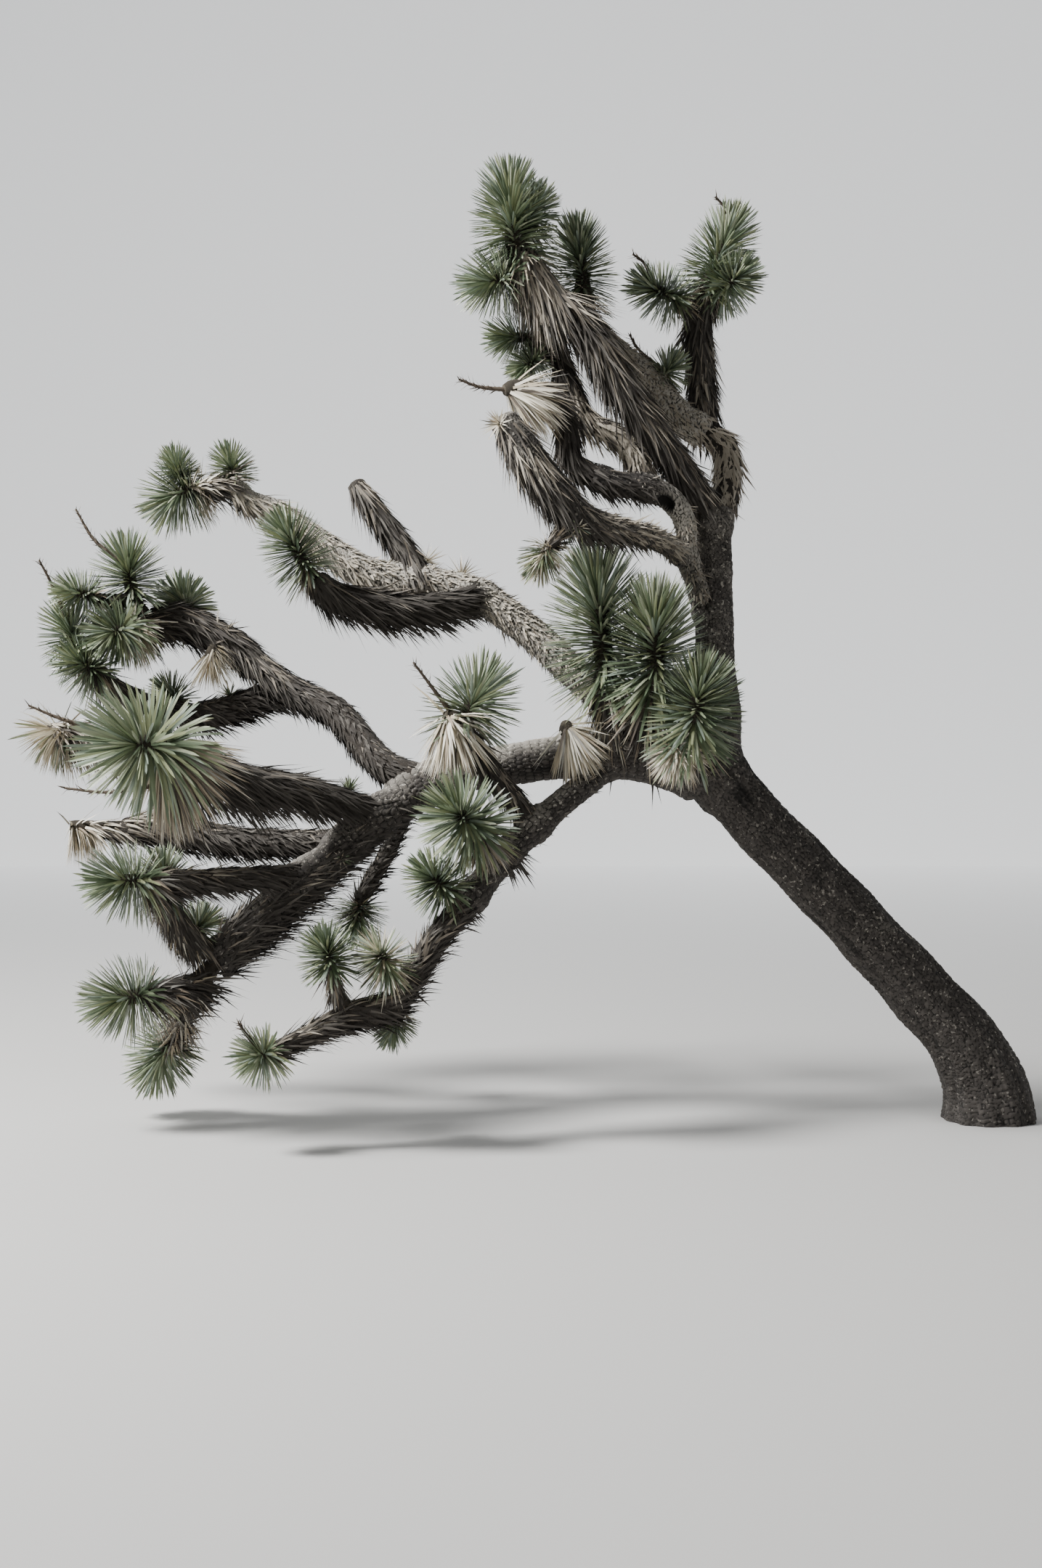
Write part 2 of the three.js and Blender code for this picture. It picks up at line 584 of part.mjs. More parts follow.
// Cuts the trunk's foot off flat at ground level.
function aboveGround(solid) {
  const depth = 2 * BURIED;
  return solid.subtract(solidOf(new THREE.BoxGeometry(1000, 1000, depth)).translate([0, 0, -depth / 2]));
}

function makeLimb(name, limb) {
  const rings = limbRings(name, limb, 0);
  const sides = sidesFor(name, Math.max(...limb.girth));
  const solid = limbSolid(rings, sides);
  const grown = limbSolid(limbRings(name, limb, CLEARANCE), sides);
  addRods(name, rings);
  if (name === "trunk") addMesh(name, cutClear(aboveGround(solid), grown), new THREE.Vector3(), limb.colour);
  else addMesh(name, cutClear(solid, grown), rings[0].middle, limb.colour);
}

// The shoots of one mass, the first at full girth and the rest thinner.
const stemsOf = (shoots) =>
  shoots.map((shoot, i) => {
    const { least, fullAt } = SMALL_SHOOT;
    const scale = (i ? SIDE_SHOOT : 1) * Math.min(1, least + ((1 - least) * shoot.leaf) / fullAt);
    return { shoot, curve: curveOf(shoot.route), girth: SHOOT_GIRTH.map((radius) => radius * scale) };
  });

// A shoot without its leaves.
function bareSolid(stem, clearance) {
  const rings = shootRings(stem, clearance);
  const rows = rings.map((ring) => ringPoints(ring, SHOOT_SIDES, 0, 0));
  return solidOf(geometryFrom(skin(rows, rings[0].middle, stem.curve.getPoint(1))));
}

// One mass of leaves, where only the bare shoots are kept clear of: the leaves kept clear as they grew.
function makeMass({ name, stems }, random) {
  const leafy = stems.map((stem) => solidOf(geometryFrom(leafySurface(stem, random))));
  const grown = Manifold.union(stems.map((stem) => bareSolid(stem, CLEARANCE)));
  addMesh(name, cutClear(Manifold.union(leafy), grown), stems[0].curve.getPoint(0), "leaves");
}

for (const [name, limb] of Object.entries(LIMBS)) makeLimb(name, limb);
const masses = Object.entries(MASSES).map(([name, shoots]) => ({
  name: name + "_leaves",
  stems: stemsOf(shoots),
}));
for (const { stems } of masses) for (const stem of stems) addRods(stem, shootRings(stem, 0));
masses.forEach((mass, i) => makeMass(mass, stream(SEED + i)));

export default tree;
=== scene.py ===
"""A leaning Joshua tree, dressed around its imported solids.

The limbs and the heads of leaves follow the same routes and rules as the solids. Here they are carried on to
plated bark, a thatch of bent-back dead leaves, full heads of dagger leaves and dry flower stalks.
The plans are in millimetres and the meshes in metres. +Z is up, -Y is the side from which the tree is seen,
and the origin is the middle of the trunk's foot.
"""

from __future__ import annotations

import logging
import math
from dataclasses import dataclass, field, replace
from enum import Enum
from typing import Callable, Iterable

import bpy
import numpy as np
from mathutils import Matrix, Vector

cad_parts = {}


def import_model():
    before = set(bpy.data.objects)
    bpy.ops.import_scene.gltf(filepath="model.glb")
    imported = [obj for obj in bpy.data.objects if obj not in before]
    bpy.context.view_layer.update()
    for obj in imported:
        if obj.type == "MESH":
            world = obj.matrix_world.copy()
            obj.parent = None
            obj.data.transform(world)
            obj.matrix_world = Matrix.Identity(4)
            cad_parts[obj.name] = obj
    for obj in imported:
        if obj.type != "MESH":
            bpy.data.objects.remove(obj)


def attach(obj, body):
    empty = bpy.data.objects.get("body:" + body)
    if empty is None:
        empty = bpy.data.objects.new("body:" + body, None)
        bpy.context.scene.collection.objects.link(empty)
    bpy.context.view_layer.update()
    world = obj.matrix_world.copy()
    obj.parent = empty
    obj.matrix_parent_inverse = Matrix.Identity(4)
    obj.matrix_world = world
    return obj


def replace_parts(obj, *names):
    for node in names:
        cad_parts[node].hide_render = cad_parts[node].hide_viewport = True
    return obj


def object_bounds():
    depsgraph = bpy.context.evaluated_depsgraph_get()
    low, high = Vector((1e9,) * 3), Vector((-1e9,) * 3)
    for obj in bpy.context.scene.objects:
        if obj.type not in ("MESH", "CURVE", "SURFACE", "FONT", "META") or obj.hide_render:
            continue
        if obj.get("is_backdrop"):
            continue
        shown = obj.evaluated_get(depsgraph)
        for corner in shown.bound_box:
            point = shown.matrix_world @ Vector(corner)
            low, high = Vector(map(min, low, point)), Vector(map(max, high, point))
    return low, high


LOG = logging.getLogger("joshua_tree")
MM = 0.001
SEED = 1907
TURN = 2.0 * math.pi
Point = Colour = tuple[float, float, float]
Array = np.ndarray

# Rules that the solids follow too: lengths on limbs in metres and on shoots in millimetres, the others as shares
RING_SPACING = 0.14
BURIED = 0.2
FOOT_FLARE = 0.068
FLARE_LENGTH = 0.35
LUMP = 0.05
COLLAR = 0.25
COLLAR_LENGTH = 1.2
TIP_LENGTH = 0.5
TIP_ROUNDING = 0.85
RIDGE_COUNT = 11
RIDGE_HEIGHT = 0.04
RIDGE_WINDING = 0.06
RIDGE_LEAST = 0.4
SHOOT_GIRTH = (46.0, 32.0)
SIDE_SHOOT = 0.8
SMALL_SHOOT = (0.55, 180.0)
SHORTEST_STEM = 30.0
KNOT_GIRTH = 0.2
SPREAD = (1.0, -0.42)
LEAST_OUTWARD = 0.3
DEAD_OUTWARD = 0.1


class Coat(Enum):
    """What covers a limb."""

    PLATED = "plated"
    SCALED = "scaled"
    STUBBY = "stubby"
    SHAGGY = "shaggy"


class Fade(Enum):
    """How far the dead leaves of a head have faded pale; dark heads also get painted shade on their live leaves."""

    PALE = "pale"
    MIXED = "mixed"
    DARK = "dark"


@dataclass(frozen=True)
class LimbPlan:
    """A limb: its route from root to tip, and its girth, sag, paleness and shag at even steps along it. Its paleness is
    partly its own and partly painted light and shade.

    The fringe is the length of its dead leaves at the root and at the tip.
    """

    coat: Coat
    girth: tuple[float, ...]
    route: tuple[Point, ...]
    sag: tuple[float, ...] = (0.0, 0.0)
    pale: tuple[float, ...] = (0.2, 0.2)
    shag: tuple[float, ...] = (0.0, 0.0)
    fringe: tuple[float, float] = (100.0, 100.0)


@dataclass(frozen=True)
class ShootPlan:
    """A shoot: its route, its longest leaf, the length that bears leaves, and how its leaves stand and fade.

    Live is the share of its leaves that are alive, and skirt the number of dead leaves that hang below them.
    Hang is the pull downwards on the skirt, and wind a pull on all leaves towards +X.
    """

    route: tuple[Point, ...]
    leaf: float
    leafy: float
    skirt: int
    shag: float = 0.0
    droop: float = 0.0
    spread: tuple[float, float] = SPREAD
    live: float = 1.0
    fade: Fade = Fade.MIXED
    hang: float = 0.75
    wind: float = 0.0


def limb(coat: Coat, *route: Point, **rest: tuple[float, ...]) -> LimbPlan:
    """Returns a limb's plan, with its route given point by point."""
    return LimbPlan(coat, route=route, **rest)


def shoot(leaf: float, leafy: float, skirt: int, *route: Point, **rest: object) -> ShootPlan:
    """Returns a shoot's plan, with its longest leaf, its leafy length and its skirt first and its route after them."""
    return ShootPlan(route, leaf, leafy, skirt, **rest)


LIMBS: dict[str, LimbPlan] = {
    "trunk": limb(
        Coat.PLATED, (30, 5, -200), (-64, -5, 230), (-318, -10, 560), (-1030, -50, 1300), (-1225, -60, 1530),
        girth=(130, 128, 124, 122), pale=(0, 0.1),
    ),
    "upright_bough": limb(
        Coat.PLATED, (-1225, -60, 1470), (-1195, -60, 1700), (-1210, -40, 2010), (-1200, 60, 2650),
        girth=(104, 92, 82, 76, 66), pale=(0.15, 0.25, 0.35),
    ),
    "low_bough": limb(
        Coat.SCALED, (-1210, -60, 1500), (-1630, -80, 1575), (-2340, 0, 1490), (-2490, 30, 1430),
        girth=(112, 100, 90, 84, 82), pale=(0.1, 0.2, 0.15),
    ),
    "low_bough_outer": limb(
        Coat.SCALED, (-2450, 30, 1450), (-2590, 20, 1360), (-2900, -70, 1100), (-3250, -140, 810), (-3330, -160, 710),
        girth=(78, 76, 72, 68, 60), sag=(0, 20, 30, 60, 95, 90), pale=(0.12, 0.05, 0), shag=(0.1, 0.45, 0.8, 1, 1, 1),
        fringe=(100, 190),
    ),
    "front_bough": limb(
        Coat.SCALED, (-1630, -90, 1570), (-2080, -380, 1190), (-2270, -490, 970), girth=(52, 54, 58, 56),
        pale=(0.15, 0.1), shag=(0.05, 0.15, 0.3), fringe=(50, 80),
    ),
    "front_bough_outer": limb(
        Coat.SHAGGY, (-2250, -480, 990), (-2370, -560, 860), (-2550, -670, 610), (-2730, -700, 550), (-3020, -750, 410),
        girth=(56, 54, 50, 44, 38), sag=(0, 30, 45, 25, 10), pale=(-0.1, 0.05), shag=(0.4, 0.9, 1, 0.8, 0.6),
        fringe=(90, 120),
    ),
    "arched_bough": limb(
        Coat.SHAGGY, (-2440, 20, 1450), (-2650, 120, 1540), (-2860, 310, 1760), (-3110, 470, 1850), (-3410, 590, 1780),
        (-3540, 620, 1760), girth=(74, 72, 68, 62, 54), sag=(0, 0, 0, 15, 30), pale=(-0.12, -0.1, -0.05), shag=(1, 1),
        fringe=(50, 120),
    ),
    "arched_bough_upper": limb(
        Coat.SHAGGY, (-3010, 410, 1830), (-3230, 470, 1980), (-3340, 500, 2080), (-3610, 520, 2200), (-3730, 500, 2180),
        girth=(60, 62, 64, 62, 58), sag=(0, 10, 25, 45, 30), pale=(-0.15, 0), shag=(1, 1), fringe=(100, 160),
    ),
    "middle_bough": limb(
        Coat.SHAGGY, (-2660, 0, 1330), (-3030, -270, 1450), (-3190, -370, 1480), (-3420, -520, 1600),
        girth=(60, 64, 66, 66, 62), sag=(0, 10, 20, 60, 110), pale=(-0.15, -0.05), shag=(0.8, 1), fringe=(90, 260),
    ),
    "lower_bough": limb(
        Coat.SHAGGY, (-2780, -30, 1220), (-2910, 70, 1200), (-3280, 230, 1200), (-3670, 350, 1260), (-3840, 380, 1240),
        girth=(56, 58, 58, 56, 50), sag=(0, 15, 20, 40, 20), pale=(-0.15, -0.1, 0.15), shag=(0.8, 1), fringe=(80, 150),
    ),
    "lowest_bough": limb(
        Coat.SHAGGY, (-2950, -80, 1080), (-3210, -310, 1070), (-3540, -470, 1070), girth=(46, 46, 46, 44),
        sag=(0, 10, 20, 30), pale=(-0.1, 0), shag=(0.8, 1), fringe=(90, 130),
    ),
    "drooping_bough": limb(
        Coat.SHAGGY, (-2520, 30, 1410), (-2610, 190, 1180), (-2750, 290, 940), girth=(42, 40, 38, 36), pale=(0.2, 0.3),
        shag=(0.6, 1), fringe=(60, 90),
    ),
    "long_bough": limb(
        Coat.STUBBY, (-1570, -80, 1590), (-1670, 60, 1800), (-1800, 150, 1930), (-2240, 290, 2290), (-2740, 340, 2400),
        (-3130, 350, 2660), (-3250, 340, 2710), (-3340, 320, 2790), girth=(64, 66, 70, 70, 68, 64, 52, 40),
        sag=(0, 0, 0, 10, 20, 20, 20, 10), pale=(0.3, 0.8, 1, 0.9), shag=(0, 0, 0.05, 0.1, 0.2, 0.5, 1, 1),
        fringe=(60, 130),
    ),
    "long_bough_lower": limb(
        Coat.SHAGGY, (-2210, 280, 2280), (-2450, 110, 2220), (-2840, -10, 2270), (-2930, -30, 2340),
        girth=(60, 62, 64, 62, 54), sag=(0, 15, 25, 30, 15), pale=(-0.1, 0), shag=(1, 1), fringe=(120, 170),
    ),
    "dead_stub": limb(
        Coat.SHAGGY, (-2490, 320, 2350), (-2560, 360, 2480), (-2790, 410, 2800), girth=(66, 60, 52, 44), pale=(0, 0.15),
        shag=(1, 1), fringe=(120, 150),
    ),
    "hooked_bough": limb(
        Coat.STUBBY, (-1250, -50, 2210), (-1325, -90, 2420), (-1345, -110, 2570), (-1410, -130, 2668),
        (-1520, -150, 2712), (-1630, -170, 2722), (-1740, -170, 2760), girth=(50, 44, 42, 48, 54, 54, 54),
        pale=(0.5, 0.7, 0.8, 0.9, 0.3, -0.1, -0.1), shag=(0, 0, 0, 0, 0.5, 1, 1), fringe=(60, 120),
    ),
    "left_bough": limb(
        Coat.STUBBY, (-1325, -100, 2400), (-1410, -160, 2464), (-1507, -230, 2500), (-1620, -300, 2515),
        (-1810, -380, 2570), (-1980, -410, 2760), (-2120, -390, 2980), girth=(44, 46, 52, 68, 82, 76, 58),
        pale=(0.6, 0.6, 0.4, 0.2, 0.2, 0.3, 0.3), shag=(0, 0.1, 0.4, 0.9, 1, 1, 1), fringe=(80, 170),
    ),
    "hooked_bough_outer": limb(
        Coat.SHAGGY, (-1710, -170, 2745), (-1820, -160, 2820), (-1860, -150, 3020), (-1910, -170, 3090),
        (-1990, -190, 3110), girth=(54, 52, 46), pale=(-0.1, 0.1), shag=(0.8, 1), fringe=(110, 150),
    ),
    "twisting_bough": limb(
        Coat.SHAGGY, (-1510, -140, 2710), (-1580, -20, 2910), (-1760, 30, 3030), (-1890, 90, 3320), (-1960, 100, 3380),
        girth=(50, 54, 52, 48, 44), pale=(0.2, 0.9, 0.8, 0.1, 0), shag=(1, 1), fringe=(110, 150),
    ),
    "diagonal_bough": limb(
        Coat.SHAGGY, (-1200, 50, 2600), (-1580, -80, 3110), (-1790, -90, 3460), girth=(66, 68, 70, 70, 62),
        pale=(0.1, 0.15, 0.35), shag=(0.6, 1, 1), fringe=(120, 230),
    ),
    "outer_bough": limb(
        Coat.SHAGGY, (-1190, 60, 2610), (-1145, 130, 2710), (-1145, 250, 2940), (-1220, 280, 3000), girth=(62, 60, 62),
        pale=(0.3, 0.7, 0.5), shag=(0.3, 0.8, 1), fringe=(90, 130),
    ),
    "outer_bough_upper": limb(
        Coat.STUBBY, (-1200, 275, 2990), (-1320, 290, 3060), (-1490, 290, 3250), (-1740, 230, 3470), (-1770, 200, 3540),
        girth=(66, 68, 60, 50, 42), pale=(1, 1, 0.1), shag=(0.7, 0.15, 0.3, 1), fringe=(50, 90),
    ),
    "right_bough": limb(
        Coat.SHAGGY, (-1220, 290, 3000), (-1230, 400, 3230), (-1240, 440, 3490), (-1220, 440, 3570),
        girth=(58, 62, 62, 60), pale=(0.1, 0.1), shag=(1, 1), fringe=(130, 180),
    ),
    "spur_bough": limb(
        Coat.SHAGGY, (-1980, -310, 1290), (-2130, -350, 1470), (-2270, -390, 1670), girth=(50, 52, 48), pale=(0.1, 0.2),
        shag=(0.7, 1), fringe=(80, 120),
    ),
}

MASSES: dict[str, list[ShootPlan]] = {
    "top": [
        shoot(
            190, 330, 250, (-1790, -90, 3460), (-1880, -70, 3490), (-2050, -20, 3730), (-2090, 10, 4010), shag=84,
            fade=Fade.PALE, hang=2.4,
        ),
        shoot(170, 100, 20, (-2030, -20, 3660), (-2090, -40, 3620), (-2180, -70, 3590)),
        shoot(140, 100, 20, (-2060, -10, 3750), (-2020, 30, 3850), (-1980, 50, 3940)),
    ],
    "top_right": [
        shoot(165, 250, 60, (-1770, 200, 3540), (-1770, 190, 3660), (-1790, 180, 3820), shag=60, fade=Fade.DARK),
    ],
    "twist_tip": [
        shoot(140, 70, 30, (-1960, 100, 3380), (-2040, 110, 3390), (-2090, 110, 3390), fade=Fade.DARK),
        shoot(110, 60, 15, (-1960, 100, 3380), (-1970, 60, 3290), (-2020, 40, 3250), fade=Fade.DARK),
    ],
    "hook_tip": [
        shoot(
            240, 80, 0, (-1990, -190, 3110), (-2060, -210, 3120), (-2110, -230, 3110), droop=0.75,
            spread=(-0.55, -0.97), live=0, fade=Fade.PALE,
        ),
    ],
    "right_tip": [
        shoot(175, 280, 110, (-1220, 440, 3570), (-1190, 450, 3700), (-1100, 460, 3930), shag=60, fade=Fade.PALE),
        shoot(150, 100, 10, (-1180, 450, 3670), (-1120, 400, 3670), (-1080, 350, 3700)),
    ],
    "right_side": [shoot(150, 130, 25, (-1230, 440, 3460), (-1300, 400, 3580), (-1460, 330, 3650))],
    "outer_side": [shoot(115, 50, 15, (-1450, 290, 3200), (-1410, 300, 3250), (-1380, 310, 3290))],
    "front_tall": [
        shoot(262, 400, 60, (-1630, -90, 1610), (-1660, -130, 1760), (-1720, -200, 2290), shag=62, fade=Fade.PALE),
    ],
    "front_middle": [
        shoot(240, 330, 40, (-1460, -80, 1560), (-1510, -200, 1720), (-1480, -330, 1930), (-1490, -400, 2140), shag=56),
    ],
    "front_low": [
        shoot(212, 240, 20, (-1290, -80, 1520), (-1340, -250, 1600), (-1330, -400, 1700), (-1310, -500, 1850)),
        shoot(
            150, 50, 0, (-1340, -250, 1600), (-1370, -310, 1610), (-1400, -370, 1610), droop=0.7, live=0,
            fade=Fade.PALE,
        ),
    ],
    "left_side": [
        shoot(
            120, 60, 10, (-1820, -380, 2570), (-1900, -420, 2470), (-1960, -450, 2380), droop=0.5, live=0.4,
            fade=Fade.PALE,
        ),
    ],
    "low_tuft": [
        shoot(
            215, 40, 0, (-1810, -70, 1560), (-1840, -170, 1660), (-1850, -230, 1710), droop=1.5, live=0, fade=Fade.PALE,
            wind=0.9,
        ),
    ],
    "spur_tip": [
        shoot(208, 120, 20, (-2270, -390, 1670), (-2265, -385, 1740), (-2210, -350, 1840)),
        shoot(
            245, 60, 0, (-2280, -400, 1690), (-2320, -420, 1730), (-2350, -440, 1750), droop=2.0, live=0,
            fade=Fade.PALE,
        ),
    ],
    "front_side": [shoot(205, 120, 90, (-2090, -390, 1170), (-2200, -520, 1260), (-2290, -640, 1350), fade=Fade.DARK)],
    "front_small": [shoot(145, 80, 25, (-2270, -490, 970), (-2330, -530, 1020), (-2400, -570, 1090), fade=Fade.DARK)],
    "long_tip": [
        shoot(185, 90, 90, (-3340, 320, 2790), (-3550, 320, 2740), (-3590, 310, 2710), fade=Fade.PALE, hang=1.2),
        shoot(112, 70, 15, (-3480, 330, 2755), (-3550, 345, 2810), (-3580, 350, 2870)),
    ],
    "long_upper": [shoot(118, 70, 20, (-3270, 340, 2710), (-3310, 350, 2800), (-3340, 360, 2880))],
    "long_lower_tip": [shoot(165, 170, 60, (-2930, -30, 2340), (-2985, -40, 2430), (-3035, -60, 2520), fade=Fade.DARK)],
    "upper_left": [
        shoot(188, 120, 90, (-3730, 500, 2180), (-3790, 470, 2280), (-3810, 440, 2430), fade=Fade.DARK, hang=1.6),
        shoot(128, 80, 15, (-3780, 470, 2270), (-3930, 380, 2280), (-4040, 330, 2300)),
    ],
    "upper_right": [shoot(155, 90, 30, (-3550, 520, 2190), (-3570, 600, 2240), (-3610, 660, 2290), fade=Fade.DARK)],
    "upper_skirt": [
        shoot(
            165, 50, 0, (-3400, 500, 2120), (-3420, 470, 2070), (-3450, 450, 2010), droop=0.8, live=0, fade=Fade.PALE,
            wind=0.6,
        ),
    ],
    "upper_front": [
        shoot(170, 110, 90, (-3700, 500, 2190), (-3790, 400, 2150), (-3860, 310, 2120), fade=Fade.PALE, hang=2.4),
    ],
    "arch_tip": [shoot(120, 60, 50, (-3540, 620, 1760), (-3610, 640, 1810), (-3660, 650, 1860), hang=1.6)],
    "arch_left": [
        shoot(155, 90, 80, (-3510, 610, 1760), (-3740, 480, 1820), (-4010, 320, 1990), fade=Fade.DARK, hang=1.6),
        shoot(170, 110, 60, (-3890, 390, 1900), (-4030, 420, 2060), (-4080, 430, 2150), hang=1.6),
    ],
    "middle_tip": [shoot(290, 150, 330, (-3420, -520, 1600), (-3500, -640, 1620), (-3570, -740, 1630), hang=3.0)],
    "middle_left": [
        shoot(
            180, 80, 40, (-3390, -500, 1580), (-3610, -280, 1640), (-3880, -120, 1680), (-4060, -60, 1690), droop=1.6,
            live=0.15, fade=Fade.PALE, hang=2.4,
        ),
    ],
    "lower_tip": [
        shoot(
            175, 80, 0, (-3840, 380, 1240), (-3960, 370, 1250), (-4060, 350, 1255), droop=1.6, spread=(0.2, -0.6),
            live=0, fade=Fade.PALE,
        ),
    ],
    "lowest_tip": [
        shoot(185, 100, 70, (-3540, -470, 1070), (-3610, -500, 1070), (-3680, -540, 1070), fade=Fade.DARK, hang=1.4),
    ],
    "lowest_top": [
        shoot(140, 90, 180, (-3330, -160, 710), (-3490, -280, 890), (-3530, -340, 1090), shag=56, hang=1.6),
        shoot(120, 60, 10, (-3430, -230, 790), (-3420, -190, 820), (-3400, -130, 860)),
    ],
    "foot_left": [
        shoot(
            200, 110, 90, (-3330, -160, 710), (-3410, -200, 620), (-3720, -330, 560), shag=54, fade=Fade.DARK, hang=1.2,
        ),
    ],
    "foot_down": [shoot(170, 110, 80, (-3330, -160, 710), (-3450, -60, 520), (-3620, 20, 230))],
    "droop_tip": [shoot(140, 60, 50, (-2750, 290, 940), (-2760, 290, 880), (-2770, 280, 830), fade=Fade.DARK)],
    "outer_left": [shoot(130, 80, 30, (-2670, -690, 560), (-2750, -700, 590), (-2810, -780, 820), fade=Fade.DARK)],
    "outer_middle": [
        shoot(
            140, 70, 15, (-2500, -650, 660), (-2540, -700, 690), (-2600, -760, 800), droop=0.3, live=0.5,
            fade=Fade.PALE,
        ),
    ],
    "outer_down": [shoot(105, 50, 15, (-2510, -640, 650), (-2530, -600, 550), (-2560, -590, 470))],
    "outer_tip": [shoot(140, 40, 15, (-3020, -750, 410), (-3050, -770, 400), (-3075, -790, 395))],
}


def unit(vectors: Array) -> Array:
    """Returns the vectors at length 1."""
    return vectors / np.maximum(np.linalg.norm(vectors, axis=-1, keepdims=True), 1e-9)


def dots(a: Array, b: Array) -> Array:
    """Returns the row by row dot products as a column."""
    return np.sum(a * b, axis=-1, keepdims=True)


def along(values: Iterable[float], share: Array) -> Array:
    """Returns the value at a share of the way through evenly spaced values."""
    steps = np.asarray(tuple(values), float)
    return np.interp(share, np.linspace(0.0, 1.0, len(steps)), steps)


def smooth(x: Array, low: float, high: float) -> Array:
    """Returns an even S-shaped rise from 0 at low to 1 at high."""
    t = np.clip((x - low) / (high - low), 0.0, 1.0)
    return t * t * (3.0 - 2.0 * t)


def swing(start: Array, goal: Array, angle: Array) -> Array:
    """Returns the directions that lie at these angles from start towards goal."""
    return start * np.cos(angle)[:, None] + goal * np.sin(angle)[:, None]


def golden(count: int) -> Array:
    """Returns angles that each turn on by the golden angle."""
    return np.arange(count) * math.pi * (3 - math.sqrt(5))


class Grain:
    """Seeded noise: a lattice of random numbers with smooth blends between them."""

    SIZE = 32
    SHIFT = 7.3

    def __init__(self, seed: int) -> None:
        """Fills the lattice.

        Args:
            seed: Number that the whole pattern follows from.
        """
        self.lattice = np.random.default_rng(seed).random((self.SIZE,) * 3)

    def at(self, points: Array, scale: float) -> Array:
        """Blends the eight lattice values round each point by an S-curve on each axis.

        Args:
            points: Places, one row each.
            scale: Lattice steps per metre.

        Returns:
            A value from 0 to 1 for each point.
        """
        place = points * scale
        corner = np.floor(place).astype(int)
        t = smooth(place - corner, 0.0, 1.0)
        total = np.zeros(len(points))
        for steps in np.ndindex(2, 2, 2):
            weight = np.prod([np.where(d, t[:, n], 1 - t[:, n]) for n, d in enumerate(steps)], axis=0)
            i, j, k = ((corner[:, n] + d) % self.SIZE for n, d in enumerate(steps))
            total += weight * self.lattice[i, j, k]
        return total

    def layered(self, points: Array, scale: float, layers: int = 3) -> Array:
        """Sums octaves of the noise, each at twice the scale and half the strength, evened to 0 to 1.

        Args:
            points: Places, one row each.
            scale: Lattice steps per metre of the first octave.
            layers: Number of octaves.

        Returns:
            A value from 0 to 1 for each point.
        """
        total, most = np.zeros(len(points)), 0.0
        for layer in range(layers):
            total += self.at(points + self.SHIFT * layer, scale * 2**layer) * 0.5**layer
            most += 0.5**layer
        return total / most

    def cells(self, u: Array, v: Array, around: int, jitter: float) -> tuple[Array, Array]:
        """Splits the surface into cells round jittered points on a brick-like grid that closes round the limb.

        The edge value is the distance to the second nearest point less the distance to the nearest.

        Args:
            u: Place along the limb, in cells.
            v: Place round the limb, from 0 to the number of cells around.
            around: Number of cells around.
            jitter: How irregular the cells are, from 0 to 1.

        Returns:
            The edge value and the cell's own random number.
        """
        row, column = np.floor(u).astype(int), np.floor(v).astype(int)
        nearest = np.full(len(u), 9.0)
        second = np.full(len(u), 9.0)
        own = np.zeros(len(u))
        for dr in (-1, 0, 1):
            for dc in (-1, 0, 1):
                r = row + dr
                aside_u, aside_v, tone = self.lattice[r % self.SIZE, (column + dc) % around % self.SIZE, :3].T
                gap_u = r + 0.5 + jitter * (aside_u - 0.5) - u
                gap_v = column + dc + 0.5 + jitter * (aside_v - 0.5) - v + 0.5 * (r % 2) - 0.25
                far = np.hypot(gap_u, gap_v)
                closer = far < nearest
                second = np.where(closer, nearest, np.minimum(second, far))
                own = np.where(closer, tone, own)
                nearest = np.where(closer, far, nearest)
        return second - nearest, own


class Route:
    """A centripetal curve through the planned points, read by share of its length."""

    FINENESS = 60

    def __init__(self, points: Iterable[Point]) -> None:
        """Samples the curve, whose cubic between two points bends by the roots of the distances to the next.

        Args:
            points: The planned points, in millimetres.
        """
        knots = np.array(tuple(points), float) * MM
        padded = np.vstack([2 * knots[0] - knots[1], knots, 2 * knots[-1] - knots[-2]])
        p0, p1, p2, p3 = (padded[n : len(padded) - 3 + n] for n in range(4))
        d0, d1, d2 = (np.sqrt(np.linalg.norm(b - a, axis=1))[:, None] for a, b in ((p0, p1), (p1, p2), (p2, p3)))
        leave = ((p1 - p0) / d0 - (p2 - p0) / (d0 + d1) + (p2 - p1) / d1) * d1
        arrive = ((p2 - p1) / d1 - (p3 - p1) / (d1 + d2) + (p3 - p2) / d2) * d1
        square, cube = 3 * (p2 - p1) - 2 * leave - arrive, 2 * (p1 - p2) + leave + arrive
        t = np.linspace(0.0, 1.0, self.FINENESS, endpoint=False)[None, :, None]
        body = p1[:, None] + leave[:, None] * t + square[:, None] * t**2 + cube[:, None] * t**3
        self.samples = np.vstack([body.reshape(-1, 3), knots[-1:]])
        steps = np.linalg.norm(np.diff(self.samples, axis=0), axis=1)
        travelled = np.concatenate([[0.0], np.cumsum(steps)])
        self.length = float(travelled[-1])
        self.shares = travelled / self.length
        self.slopes = unit(np.gradient(self.samples, travelled, axis=0))

    def read(self, share: Array, values: Array) -> Array:
        """Returns the sampled values at these shares of the length."""
        return np.stack([np.interp(share, self.shares, values[:, n]) for n in range(3)], axis=-1)

    def at(self, share: Array) -> Array:
        """Returns the points at these shares of the length."""
        return self.read(share, self.samples)

    def tangent(self, share: Array) -> Array:
        """Returns the directions towards the tip at these shares of the length."""
        return unit(self.read(share, self.slopes))


class Rows:
    """Arrays with one row for each item, from which rows are picked together."""

    def pick(self, chosen: Array) -> Rows:
        """Returns the items that a mask or a list of places chooses."""
        return type(self)(*(getattr(self, name)[chosen] for name in self.__dataclass_fields__))


@dataclass
class Patch(Rows):
    """Places on a limb's skin, with the way out, the way to the tip and the share of the length."""

    point: Array
    outward: Array
    tangent: Array
    share: Array
    angle: Array


